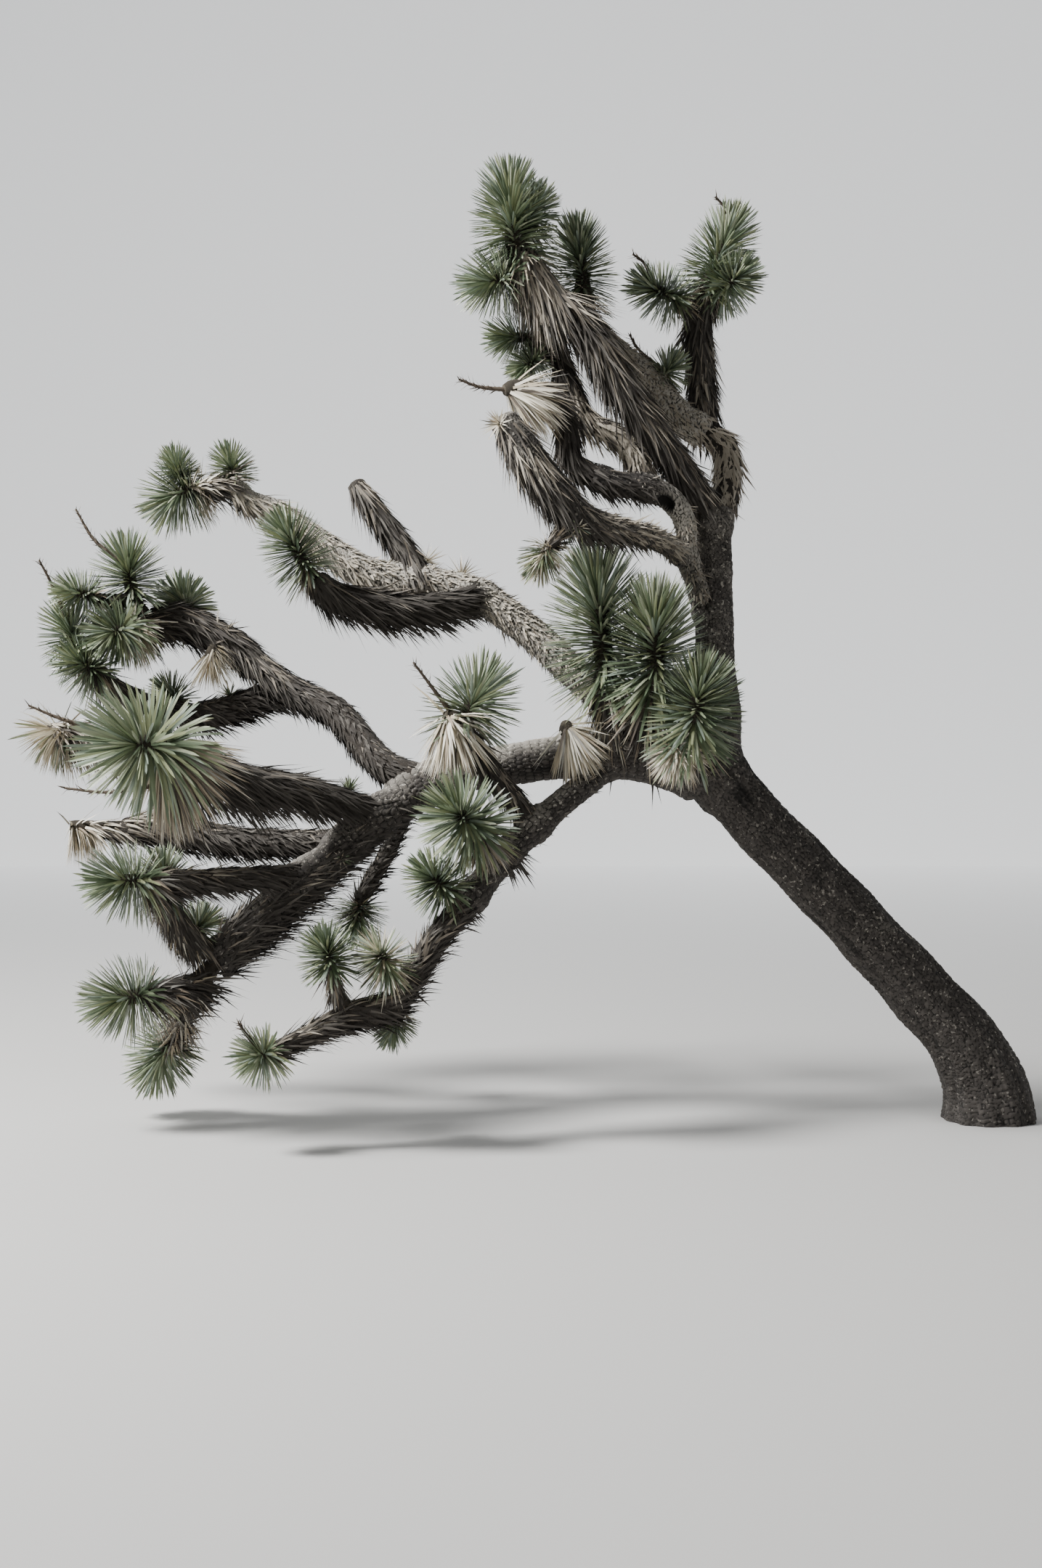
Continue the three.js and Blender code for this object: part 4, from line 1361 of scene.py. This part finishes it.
@dataclass
class Head:
    """One shoot: its stem, its knot of leaf bases, its leaves, and the skirt of dead leaves below them."""

    name: str
    plan: ShootPlan
    side: bool
    rng: np.random.Generator
    route: Route = field(init=False)
    bare: float = field(init=False)
    knot: float = field(init=False)
    girth: tuple[float, float] = field(init=False)

    CORE_SIDES = 14
    CORE_STEP = 0.02
    CORE_INSET = 0.2
    # A least value, and what each millimetre of the plan adds to it
    LEAF_COUNT = (150, 1.25)
    LEAF_WIDTH = (0.007, 0.000023)
    ROOTED = 0.55
    LOOSE = 0.12
    LEAN_LOOSE = 0.07
    # Ranges from which each leaf's own value is drawn
    LENGTHS = (0.92, 1.09)
    WIDTHS = (0.85, 1.2)
    CURLS = (-0.03, 0.06)
    DROOPS = (0.75, 1.25)
    SKIRT_LEANS = (1.8, 2.65)
    SKIRT_LENGTHS = (0.65, 1.0)
    SKIRT_DROOPS = (0.4, 1.6)
    # How deep leaves may cross other limbs
    CROSSING = 0.012
    SKIRT_CROSSING = 0.02
    SKIRT_FILLED = 1.7

    def __post_init__(self) -> None:
        """Works out the stem's girth and where its leaves begin, by the rule of the solids."""
        plan = self.plan
        self.route = Route(plan.route)
        least, full = SMALL_SHOOT
        scale = (SIDE_SHOOT if self.side else 1.0) * min(1.0, least + (1 - least) * plan.leaf / full)
        self.girth = (SHOOT_GIRTH[0] * scale * MM, SHOOT_GIRTH[1] * scale * MM)
        self.knot = KNOT_GIRTH * plan.leaf * MM
        leafless = self.route.length - plan.leafy * MM - 0.5 * self.knot
        self.bare = max(SHORTEST_STEM * MM, leafless) / self.route.length

    def radius(self, share: Array) -> Array:
        """Thickens the shoot by the rule of the solids: even on its stem, swollen at the knot, closed in a dome.

        Args:
            share: Shares of the length.

        Returns:
            The radius at each.
        """
        stem = along(self.girth, share / self.bare)
        stem = np.where(share > 0.15 * self.bare, np.maximum(stem, self.plan.shag * MM), stem)
        from_end = (1 - share) * self.route.length / self.knot + 0.3
        dome = self.knot * np.maximum(0.35, np.sqrt(np.minimum(1.0, from_end)))
        age = (1 - share) / (1 - self.bare)
        leafy = np.maximum(np.maximum(dome, 0.92 * self.girth[1]), self.plan.shag * MM * age)
        return np.where(share < self.bare, stem, leafy)

    def sweep(self) -> Sweep:
        """Returns the shoot as a sweep without lumps."""
        return Sweep(self.name, self.route, self.radius, lumps=0.0)

    def core(self, batch: MeshBatch) -> None:
        """Lays the shoot's own skin into a batch, a little inside its leaf bases.

        Args:
            batch: Where it goes.
        """
        rings = max(6, round(self.route.length / self.CORE_STEP))
        share, angle = tube_grid(rings, self.CORE_SIDES)
        patch = self.sweep().skin(share, angle)
        points = patch.point - patch.outward * (self.CORE_INSET * self.radius(share))[:, None]
        points = np.vstack([points, self.route.at(np.array([0.0, 1.0]))])
        fine = fibre_place(share, angle, self.girth[0], self.route.length, 60)
        batch.add(points, tube_faces(rings, self.CORE_SIDES), fine=fine)

    def turned(self, count: int) -> Array:
        """Returns angles that turn by the golden angle, a little loosely."""
        return golden(count) + self.rng.normal(0.0, self.LOOSE, count)

    def lay(self, share: Array, lean: Array, droop: Array, length: Array) -> Blades:
        """Stands leaves round the shoot at a lean from its tip's direction, and lets them droop.

        Args:
            share: Where on the shoot they stand.
            lean: Their angle from the direction of the tip.
            droop: Their pull downwards.
            length: How far from the shoot's middle line they reach.

        Returns:
            The leaves, rooted well inside the knot.
        """
        count = len(share)
        patch = self.sweep().skin(share, self.turned(count))
        heading = swing(patch.tangent, patch.outward, lean)
        heading[:, 2] -= droop
        heading[:, 0] += self.plan.wind
        outward = LEAST_OUTWARD if self.plan.live else DEAD_OUTWARD
        off = np.minimum(outward, np.sin(np.minimum(lean, math.pi / 2)) + 0.02)[:, None]
        heading = unit(heading + patch.outward * np.maximum(0.0, off - dots(heading, patch.outward)))
        depth = self.ROOTED * self.radius(share)
        root = self.route.at(share) + heading * depth[:, None]
        above = patch.tangent + 0.25 * patch.outward + self.rng.normal(0.0, self.LOOSE, (count, 3))
        curl = above * (length * self.rng.uniform(*self.CURLS, count))[:, None]
        least, more = self.LEAF_WIDTH
        width = (least + more * self.plan.leaf) * self.rng.uniform(*self.WIDTHS, count)
        return Blades(root, heading, length - depth, width, above, curl)

    def grow(self, store: LeafStore) -> None:
        """Grows the leaves of the head, the youngest at its tip, and then its skirt.

        Args:
            store: Where the leaves go.
        """
        plan = self.plan
        least, more = self.LEAF_COUNT
        count = int(least + more * plan.leafy)
        grown = (np.arange(count) + 0.5) / count
        age = 1 - grown
        share = self.bare + (1 - self.bare) * 0.97 * grown**0.8
        young, old = plan.spread
        lean = np.arccos(np.clip(young + (old - young) * age, -0.98, 0.995))
        lean += self.rng.normal(0.0, self.LEAN_LOOSE, count)
        full = self.rng.uniform(*self.LENGTHS, count) * np.where(age < 0.06, 0.92, 1.0)
        droop = plan.droop * self.rng.uniform(*self.DROOPS, count)
        blades = self.lay(share, lean, droop, plan.leaf * MM * full)
        blades.curl[:, 2] -= (0.08 * age + 0.12 * plan.hang * age**3) * blades.length
        alive = self.rng.random(count) < plan.live * np.where(age > 0.93, 0.55, 1.0)
        free = store.clear(blades, self.name, self.CROSSING)
        # Painted light: young leaves near the tip take the lit tones and older ones the shaded tones; dark heads take
        # mostly the shaded tones as painted shade
        sunny = (1 - age) * (0.3 if plan.fade is Fade.DARK else 1.0)
        odds = np.outer(sunny, LIT_YOUNG_ODDS) + np.outer(1 - sunny, SHADED_OLD_ODDS)
        self.sort(store, blades, alive & free, LIVE_LEAF, odds, LIVE_NAMES)
        hanging = replace(blades, curl=blades.curl + np.array([0.0, 0.0, -0.08]) * blades.length[:, None])
        self.sort(store, hanging, ~alive & free, DEAD_LEAF, DEAD_ODDS[plan.fade], DEAD_NAMES)
        self.skirt(store)

    def skirt(self, store: LeafStore) -> None:
        """Hangs the skirt of dead leaves, bent back from the lowest live ones.

        Args:
            store: Where the leaves go.
        """
        plan = self.plan
        count = round(self.SKIRT_FILLED * plan.skirt)
        if not count:
            return
        reach = 0.35 + 0.25 * bool(plan.shag)
        share = self.bare * self.rng.uniform(1 - reach, 1.0, count) + (1 - self.bare) * 0.3 * self.rng.random(count)
        lean = self.rng.uniform(*self.SKIRT_LEANS, count)
        length = plan.leaf * MM * self.rng.uniform(*self.SKIRT_LENGTHS, count) * (0.9 + 0.14 * plan.hang)
        blades = self.lay(share, lean, plan.hang * self.rng.uniform(*self.SKIRT_DROOPS, count), length)
        blades.curl[:, 2] -= 0.12 * length
        free = store.clear(blades, self.name, self.SKIRT_CROSSING)
        self.sort(store, blades, free, DEAD_LEAF, DEAD_ODDS[plan.fade], DEAD_NAMES)

    def sort(
        self,
        store: LeafStore,
        blades: Blades,
        chosen: Array,
        shape: BladeShape,
        odds: Array | tuple[float, ...],
        names: tuple[str, ...],
    ) -> None:
        """Deals out the tones of the chosen leaves by their odds.

        Args:
            store: Where the leaves go.
            blades: The leaves.
            chosen: Which of them are used.
            shape: Their outline.
            odds: How likely each tone is, for all leaves or for each.
            names: The pieces of the tones.
        """
        bounds = np.cumsum(np.broadcast_to(odds, (len(chosen), len(names))), axis=1)[:, :-1]
        tone = (self.rng.random((len(chosen), 1)) > bounds).sum(axis=1)
        store.add(shape, blades.pick(chosen), tone[chosen], names)


STALKS: dict[str, tuple[Point, ...]] = {
    "hook_tip_leaves": ((-2090, -222, 3112), (-2214, -240, 3122), (-2300, -262, 3150)),
    "right_tip_leaves": ((-1106, 460, 3920), (-1118, 455, 4020), (-1168, 440, 4077)),
    "right_side_leaves": ((-1445, 335, 3640), (-1492, 342, 3760), (-1544, 330, 3797)),
    "outer_side_leaves": ((-1400, 305, 3270), (-1520, 290, 3370), (-1559, 280, 3432)),
    "spur_tip_leaves": ((-2300, -410, 1720), (-2402, -440, 1858), (-2481, -460, 1964)),
    "upper_left_leaves": ((-3805, 442, 2420), (-3960, 436, 2540), (-4041, 420, 2678)),
    "arch_left_leaves": ((-4060, 430, 2130), (-4130, 340, 2330), (-4180, 300, 2440)),
    "middle_left_leaves": ((-3860, -125, 1690), (-4010, -150, 1740), (-4123, -180, 1790)),
    "middle_tip_leaves": ((-3480, -540, 1470), (-3720, -520, 1432), (-3900, -530, 1450)),
    "outer_tip_leaves": ((-3060, -772, 398), (-3113, -780, 457), (-3159, -800, 527)),
}


@dataclass(frozen=True)
class SproutPlan:
    """A small tuft on a limb: where it sits, its leaves' length and number, and whether they live."""

    limb: str
    share: float
    angle: float
    leaf: float
    count: int
    live: float


SPROUTS = (
    SproutPlan("middle_bough", 0.17, -1.35, 85.0, 34, 1.0),
    SproutPlan("long_bough", 0.5, -1.2, 120.0, 26, 0.0),
    SproutPlan("left_bough", 0.52, 2.4, 80.0, 30, 0.4),
    SproutPlan("left_bough", 0.97, 2.6, 95.0, 36, 0.0),
    SproutPlan("dead_stub", 0.12, -1.6, 130.0, 26, 0.0),
    SproutPlan("low_bough_outer", 0.42, 2.7, 60.0, 26, 0.3),
    SproutPlan("arched_bough", 0.86, -1.7, 90.0, 26, 0.6),
)


@dataclass
class Twigs:
    """The dry flower stalks and the small tufts on the limbs."""

    rng: np.random.Generator
    sides: int = 7
    thickness: tuple[float, float] = (0.0105, 0.004)
    step: float = 0.008
    side_twigs: int = 34
    twig_lengths: tuple[float, float] = (0.018, 0.055)
    twig_widths: tuple[float, float] = (0.005, 0.009)

    def stalk(self, batch: MeshBatch, name: str, points: tuple[Point, ...]) -> None:
        """Makes one stalk, knotty and tapering, with short dry side twigs on its outer half.

        Args:
            batch: Where it goes.
            name: Name of the head that it grows from.
            points: Its route, in millimetres.
        """
        route = Route(points)

        def radius(share: Array) -> Array:
            """Returns the tapering thickness with its knots."""
            return along(self.thickness, share) * (1 + 0.22 * np.sin(share * 40) ** 2)

        sweep = Sweep(name, route, radius, lumps=0.0)
        rings = max(8, round(route.length / self.step))
        share, angle = tube_grid(rings, self.sides)
        tube = np.vstack([sweep.skin(share, angle).point, route.at(np.array([0.0, 1.0]))])
        batch.add(tube, tube_faces(rings, self.sides))
        count = self.side_twigs
        patch = sweep.skin(np.linspace(0.22, 0.99, count), np.arange(count) * 2.4)
        heading = unit(patch.outward + 0.8 * patch.tangent + self.rng.normal(0.0, 0.2, (count, 3)))
        length, width = (self.rng.uniform(*ends, count) for ends in (self.twig_lengths, self.twig_widths))
        root = patch.point - patch.outward * 0.003
        blades = Blades(root, heading, length, width, patch.tangent, 0 * heading)
        batch.add(DEAD_LEAF.points(blades), [DEAD_LEAF.faces(count)])

    def sprout(self, store: LeafStore, sweep: Sweep, plan: SproutPlan) -> None:
        """Opens a tuft of short leaves in a half ball on a limb's skin.

        Args:
            store: Where the leaves go.
            sweep: The limb.
            plan: The tuft.
        """
        count = plan.count
        patch = sweep.skin(np.full(count, plan.share), np.full(count, plan.angle))
        lean = np.arccos(1 - 0.85 * (np.arange(count) + 0.5) / count)
        aside = unit(np.cross(patch.outward, patch.tangent))
        level = swing(patch.tangent, aside, golden(count))
        heading = swing(patch.outward, level, lean)
        length = plan.leaf * MM * self.rng.uniform(0.7, 1.0, count)
        width = self.rng.uniform(0.0065, 0.009, count)
        root = patch.point - patch.outward * 0.01
        blades = Blades(root, heading, length, width, patch.outward + 0.2 * level, 0 * heading)
        alive = self.rng.random(count) < plan.live
        tone = self.rng.choice(len(LIVE_NAMES), size=count, p=SHADED_OLD_ODDS)
        store.add(LIVE_LEAF, blades.pick(alive), tone[alive], LIVE_NAMES)
        tone = self.rng.choice(len(DEAD_NAMES), size=count, p=DEAD_ODDS[Fade.PALE])
        store.add(DEAD_LEAF, blades.pick(~alive), tone[~alive], DEAD_NAMES)


Value = "Signal | float | tuple[float, ...]"


class Graph:
    """The nodes of one material, made by one method."""

    def __init__(self, name: str) -> None:
        """Starts a material with an empty set of nodes.

        Args:
            name: Name of the material.
        """
        self.material = bpy.data.materials.new(name)
        self.material.use_nodes = True
        self.material.node_tree.nodes.clear()

    def node(self, kind: str, settings: dict[str, object] | None = None, **inputs: Value) -> bpy.types.Node:
        """Adds a node.

        Args:
            kind: Its type.
            settings: Its own settings, which are set first.
            **inputs: Values or links of its sockets; spaces in their names are written as underscores.

        Returns:
            The node.
        """
        made = self.material.node_tree.nodes.new(kind)
        for key, value in (settings or {}).items():
            setattr(made, key, value)
        for key, value in inputs.items():
            socket = self.socket(made, key)
            if isinstance(value, Signal):
                self.material.node_tree.links.new(value.socket, socket)
            else:
                socket.default_value = value
        return made

    @staticmethod
    def socket(made: bpy.types.Node, key: str) -> bpy.types.NodeSocket:
        """Finds an input of a node.

        Args:
            made: The node.
            key: Its name with underscores, or input_ and its place.

        Returns:
            The input, an enabled one where several have the name.
        """
        if key.startswith("input_"):
            return made.inputs[int(key[6:])]
        name = key.replace("_", " ")
        return next(socket for socket in made.inputs if socket.name == name and socket.enabled)

    def signal(self, made: bpy.types.Node, name: str) -> Signal:
        """Returns an enabled output of a node as a signal."""
        return Signal(self, next(socket for socket in made.outputs if socket.name == name and socket.enabled))

    def math(self, operation: str, a: Value, b: Value) -> Signal:
        """Returns the result of a Math node on two numbers."""
        return self.signal(self.node("ShaderNodeMath", {"operation": operation}, input_0=a, input_1=b), "Value")

    def blend(self, factor: Value, a: Value, b: Value) -> Signal:
        """Returns a mix of two colours."""
        made = self.node("ShaderNodeMix", {"data_type": "RGBA"}, Factor=factor, A=a, B=b)
        return self.signal(made, "Result")

    def attribute(self, name: str, output: str) -> Signal:
        """Returns a value that the mesh holds for each point."""
        return self.signal(self.node("ShaderNodeAttribute", {"attribute_name": name}), output)

    def noise(self, place: Signal, scale: float, detail: float) -> Signal:
        """Returns noise from 0 to 1 at a place."""
        return Signal(self, self.node("ShaderNodeTexNoise", None, Vector=place, Scale=scale, Detail=detail).outputs[0])

    def finish(self, **inputs: Value) -> bpy.types.Material:
        """Joins the values to the shader, and the shader to the output.

        Args:
            **inputs: Values or links of the shader's sockets.

        Returns:
            The material.
        """
        shader = self.node("ShaderNodeBsdfPrincipled", None, **inputs)
        self.node("ShaderNodeOutputMaterial", None, Surface=self.signal(shader, "BSDF"))
        return self.material


@dataclass(frozen=True)
class Signal:
    """An output socket that can be added to, taken from and multiplied."""

    graph: Graph
    socket: bpy.types.NodeSocket

    def __add__(self, other: Value) -> Signal:
        """Returns the sum."""
        return self.graph.math("ADD", self, other)

    def __sub__(self, other: Value) -> Signal:
        """Returns the difference."""
        return self.graph.math("SUBTRACT", self, other)

    def __rsub__(self, other: Value) -> Signal:
        """Returns the other less this one."""
        return self.graph.math("SUBTRACT", other, self)

    def __mul__(self, other: Value) -> Signal:
        """Returns the product."""
        return self.graph.math("MULTIPLY", self, other)

    __radd__ = __add__
    __rmul__ = __mul__

    def within(self, low: float, high: float) -> Signal:
        """Returns how far this is from low to high, kept between 0 and 1."""
        made = self.graph.node("ShaderNodeMapRange", None, Value=self, From_Min=low, From_Max=high)
        return self.graph.signal(made, "Result")


@dataclass(frozen=True)
class BarkFinish:
    """Dry, matt bark: dark cracks between plates that run from brown to pale grey, with painted light and shade."""

    name: str = "joshua_bark"
    crack: Colour = (0.008, 0.007, 0.006)
    plate: Colour = (0.028, 0.024, 0.021)
    ridge: Colour = (0.085, 0.075, 0.066)
    # Pale grey of bleached bark, which the painted light on tops also blends towards
    bleached_and_lit: Colour = (0.5, 0.465, 0.4)

    def material(self) -> bpy.types.Material:
        """Mixes the plate's tone, the paleness with its painted light and shade, and a fine grain, and darkens the
        cracks, with painted shade in deep furrows and the knot hole.

        Returns:
            The material.
        """
        graph = Graph(self.name)
        coordinates = graph.node("ShaderNodeTexCoord")
        place = graph.signal(coordinates, "Object")
        fine = graph.attribute("fine", "Vector")
        clear = graph.attribute("clear", "Fac")
        tone = graph.attribute("tone", "Fac")
        pale = graph.attribute("pale", "Fac")
        speckle = graph.noise(place, 260.0, 4.0)
        patches = graph.noise(place, 9.0, 3.0)
        fibre = graph.noise(fine, 210.0, 3.0)
        base = graph.blend((tone * 0.6 + speckle * 0.5).within(0.1, 0.9), (*self.plate, 1.0), (*self.ridge, 1.0))
        fleck = graph.noise(place, 64.0, 2.0).within(0.6, 0.66)
        # Random pale wear and flecks, plus the paleness attribute with its painted light on tops and painted shade
        # underneath
        worn_lit_and_shaded = (pale + 0.6 * (patches - 0.5) + 0.5 * (speckle - 0.5) + 0.5 * fleck).within(0.25, 1.05)
        skin = graph.blend(worn_lit_and_shaded, base, (*self.bleached_and_lit, 1.0))
        # The dark crack colour, which is also painted shade in deep furrows and the knot hole
        shade = (clear * 1.1 + 0.35 * (fibre - 0.5)).within(0.05, 0.75)
        colour = graph.blend(shade, (*self.crack, 1.0), skin)
        height = fibre * 0.6 + speckle * 0.4
        bump = graph.node("ShaderNodeBump", None, Strength=0.7, Distance=0.004, Height=height)
        return graph.finish(
            Base_Color=colour, Roughness=0.82 + 0.14 * speckle, Normal=graph.signal(bump, "Normal")
        )


@dataclass(frozen=True)
class FibreFinish:
    """The matted fibre under the thatch and between the leaf bases, streaked along the limb."""

    name: str
    dark: Colour
    light: Colour

    def material(self) -> bpy.types.Material:
        """Streaks two browns along the limb and raises the streaks.

        Returns:
            The material.
        """
        graph = Graph(self.name)
        streak = graph.noise(graph.attribute("fine", "Vector"), 150.0, 4.0)
        colour = graph.blend(streak.within(0.35, 0.75), (*self.dark, 1.0), (*self.light, 1.0))
        bump = graph.node("ShaderNodeBump", None, Strength=0.9, Distance=0.005, Height=streak)
        return graph.finish(Base_Color=colour, Roughness=0.95, Normal=graph.signal(bump, "Normal"))


@dataclass(frozen=True)
class LeafFinish:
    """One plain tone of leaf, live and waxy or dead and dry."""

    name: str
    colour: Colour
    roughness: float

    def material(self) -> bpy.types.Material:
        """Returns the plain tone."""
        return Graph(self.name).finish(Base_Color=(*self.colour, 1.0), Roughness=self.roughness)


LEAF_FINISHES = {
    finish.name: finish
    for finish in (
        LeafFinish("sage_leaves", (0.23, 0.275, 0.17), 0.42),
        LeafFinish("deep_leaves", (0.115, 0.15, 0.09), 0.42),
        LeafFinish("olive_leaves", (0.26, 0.285, 0.16), 0.45),
        LeafFinish("light_leaves", (0.38, 0.41, 0.29), 0.47),
        LeafFinish("grey_green_leaves", (0.26, 0.31, 0.25), 0.4),
        LeafFinish("cream_dead_leaves", (0.74, 0.69, 0.57), 0.62),
        LeafFinish("straw_dead_leaves", (0.5, 0.43, 0.31), 0.66),
        LeafFinish("tan_dead_leaves", (0.31, 0.25, 0.18), 0.72),
        LeafFinish("ash_dead_leaves", (0.27, 0.255, 0.225), 0.78),
        LeafFinish("umber_dead_leaves", (0.11, 0.09, 0.07), 0.8),
        LeafFinish("straw_thatch", (0.44, 0.39, 0.31), 0.8),
        LeafFinish("tan_thatch", (0.2, 0.17, 0.133), 0.82),
        LeafFinish("ash_thatch", (0.105, 0.094, 0.08), 0.85),
        LeafFinish("umber_thatch", (0.042, 0.036, 0.03), 0.88),
    )
}
SHAGGY_FIBRE = FibreFinish("matted_fibre", (0.014, 0.011, 0.009), (0.08, 0.067, 0.053))
# Brown leaf bases, darkened to stand for the shade in the middle of each head, which is painted shade
LEAF_BASES = FibreFinish("leaf_bases", (0.03, 0.025, 0.018), (0.15, 0.125, 0.09))
DRY_STALK = LeafFinish("dry_stalk", (0.11, 0.085, 0.062), 0.85)

BARK_PIECES: dict[str, tuple[str, tuple[str, ...]]] = {
    "trunk_bark": ("bark", ("trunk",)),
    "fork_bark": ("bark", ("upright_bough", "low_bough")),
    "lower_boughs_bark": ("bark", ("low_bough_outer", "front_bough")),
    "pale_boughs_bark": ("bark", ("long_bough", "hooked_bough", "outer_bough_upper")),
    "left_bough_bark": ("thatch", ("left_bough",)),
}


@dataclass(frozen=True)
class Lamp:
    """A square soft light that faces the middle of the tree, with its side in metres and its power in watts."""

    name: str
    place: Point
    side: float
    power: float
    target: Point = (-2.0, 0.0, 1.8)

    def hang(self) -> None:
        """Hangs the light at its place and turns it to its target."""
        light = bpy.data.lights.new(self.name, "AREA")
        light.size = self.side
        light.energy = self.power
        away = np.array(self.target) - np.array(self.place)
        tilt = math.acos(-away[2] / float(np.linalg.norm(away)))
        lamp = link(self.name, light)
        lamp.location = self.place
        lamp.rotation_euler = (tilt, 0.0, math.atan2(away[1], away[0]) - math.pi / 2)


LAMPS = (Lamp("key_light", (-8.6, -2.4, 8.8), 2.4, 2500.0), Lamp("fill_light", (4.5, -6.5, 3.5), 4.5, 50.0))


@dataclass
class Studio:
    """The pale floor and backdrop, the soft lights and the camera at the photo's angle."""

    camera_place: Point = (-2.039, -9.4, 1.703)
    camera_pitch: float = math.radians(1.53)
    lens: float = 50.0
    long_side: float = 36.0
    farthest: float = 200.0
    half_width: float = 60.0
    backdrop: float = 17.0
    paper: Colour = (0.6, 0.59, 0.57)
    glow: Colour = (0.7, 0.72, 0.74)
    air: Colour = (0.86, 0.88, 0.9)
    air_strength: float = 0.15

    def build(self) -> None:
        """Makes the floor, the backdrop, the lights and the camera."""
        wide, back = self.half_width, self.backdrop
        self.sheet("floor", (-wide, -MM), (wide, -MM))
        self.sheet("backdrop", (back, -1.0), (back, wide))
        for lamp in LAMPS:
            lamp.hang()
        world = bpy.data.worlds.new("studio_air")
        bpy.context.scene.world = world
        world.use_nodes = True
        inputs = world.node_tree.nodes["Background"].inputs
        inputs["Color"].default_value = (*self.air, 1.0)
        inputs["Strength"].default_value = self.air_strength
        camera = bpy.data.cameras.new("camera")
        camera.lens = self.lens
        camera.sensor_fit = "VERTICAL"
        camera.sensor_height = self.long_side
        camera.clip_end = self.farthest
        placed = link("camera", camera)
        placed.location = self.camera_place
        placed.rotation_euler = (math.pi / 2 - self.camera_pitch, 0.0, 0.0)
        bpy.context.scene.camera = placed

    def sheet(self, name: str, first: tuple[float, float], last: tuple[float, float]) -> None:
        """Stands or lays a wide pale sheet that glows more the further back it is.

        Args:
            name: Its name.
            first: Y and Z of its nearer or lower edge.
            last: Y and Z of its other edge.
        """
        wide = self.half_width
        batch = MeshBatch()
        corners = np.array([(-wide, *first), (wide, *first), (wide, *last), (-wide, *last)])
        batch.add(corners, [np.arange(4)[None]])
        sheet = batch.build(name, False)
        graph = Graph(name)
        place = graph.signal(graph.node("ShaderNodeTexCoord"), "Object")
        axes = graph.node("ShaderNodeSeparateXYZ", None, Vector=place)
        glow = graph.blend(graph.signal(axes, "Y").within(1.5, self.backdrop), (0, 0, 0, 1), (*self.glow, 1.0))
        finish = graph.finish(
            Base_Color=(*self.paper, 1.0), Roughness=0.85, Emission_Color=glow, Emission_Strength=1.0
        )
        sheet.data.materials.append(finish)
        sheet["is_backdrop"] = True


@dataclass
class JoshuaTree:
    """The whole tree: bark, thatch, heads of leaves and dry stalks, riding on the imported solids."""

    low: Array
    high: Array
    grain: Grain = field(default_factory=lambda: Grain(SEED))
    margin: float = 0.004
    sweeps: dict[str, Sweep] = field(init=False)
    heads: list[Head] = field(init=False)
    space: Space = field(init=False)
    store: LeafStore = field(init=False)

    def __post_init__(self) -> None:
        """Lays out the limbs and shoots, and the space that they take."""
        self.sweeps = {name: limb_sweep(name, plan) for name, plan in LIMBS.items()}
        self.heads = [
            Head(name + "_leaves", plan, number > 0, np.random.default_rng(SEED + 100 * place + number))
            for place, (name, plans) in enumerate(MASSES.items())
            for number, plan in enumerate(plans)
        ]
        self.space = Space([*self.sweeps.values(), *(head.sweep() for head in self.heads)])
        limbs = Space(self.sweeps.values())
        self.store = LeafStore(self.low - self.margin, self.high + self.margin, limbs)

    def dress(
        self, batch: MeshBatch, name: str, finish: bpy.types.Material, rounded: bool
    ) -> bpy.types.Object:
        """Builds a piece, gives it its finish and lets it ride on the tree.

        Args:
            batch: Its mesh.
            name: Its name.
            finish: Its material.
            rounded: Whether it is shaded as one smooth surface.

        Returns:
            The piece.
        """
        piece = batch.build(name, rounded)
        piece.data.materials.append(finish)
        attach(piece, "root")
        LOG.info("%s: %d triangles", name, batch.triangles())
        return piece

    def limbs(self) -> None:
        """Builds the bark of the bare limbs and the fibre of the shaggy ones, in place of their solids."""
        bark = Bark(self.space, self.grain)
        plates, fibre = BarkFinish().material(), SHAGGY_FIBRE.material()
        shaggy = tuple(name for name, plan in LIMBS.items() if plan.coat is Coat.SHAGGY)
        pieces = [(name, slot, members, plates) for name, (slot, members) in BARK_PIECES.items()]
        for name, slot, members, finish in [*pieces, ("shaggy_boughs", "thatch", shaggy, fibre)]:
            batch = MeshBatch()
            for member in members:
                bark.add(batch, self.sweeps[member], LIMBS[member])
            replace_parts(self.dress(batch, name, finish, True), *members)

    def foliage(self) -> None:
        """Grows the thatch, the stubs, the heads and the tufts, and builds each tone as a piece."""
        rng = np.random.default_rng(SEED)
        thatch = Thatch(self.store, self.grain, rng)
        for name, plan in LIMBS.items():
            thatch.cover(self.sweeps[name], plan)
            if plan.coat is Coat.STUBBY:
                thatch.stubs(self.sweeps[name], plan)
        knots = MeshBatch()
        for head in self.heads:
            head.core(knots)
            thatch.sheathe(head)
            head.grow(self.store)
        masses = [name + "_leaves" for name in MASSES]
        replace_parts(self.dress(knots, "shoots", LEAF_BASES.material(), True), *masses)
        twigs = Twigs(rng)
        stalks = MeshBatch()
        for name, points in STALKS.items():
            twigs.stalk(stalks, name, points)
        self.dress(stalks, "flower_stalks", DRY_STALK.material(), True)
        for plan in SPROUTS:
            twigs.sprout(self.store, self.sweeps[plan.limb], plan)
        for name, batch in self.store.batches.items():
            slot = "thatch" if name in THATCH_NAMES else "leaves"
            self.dress(batch, name, LEAF_FINISHES[name].material(), False)


def main() -> None:
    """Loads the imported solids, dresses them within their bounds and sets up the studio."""
    logging.basicConfig(level=logging.INFO, format="%(name)s: %(message)s")
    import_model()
    packed = [list(corner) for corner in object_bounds()]
    tree = JoshuaTree(np.array(packed[0]), np.array(packed[1]))
    tree.limbs()
    tree.foliage()
    Studio().build()


if __name__ == "__main__":
    main()
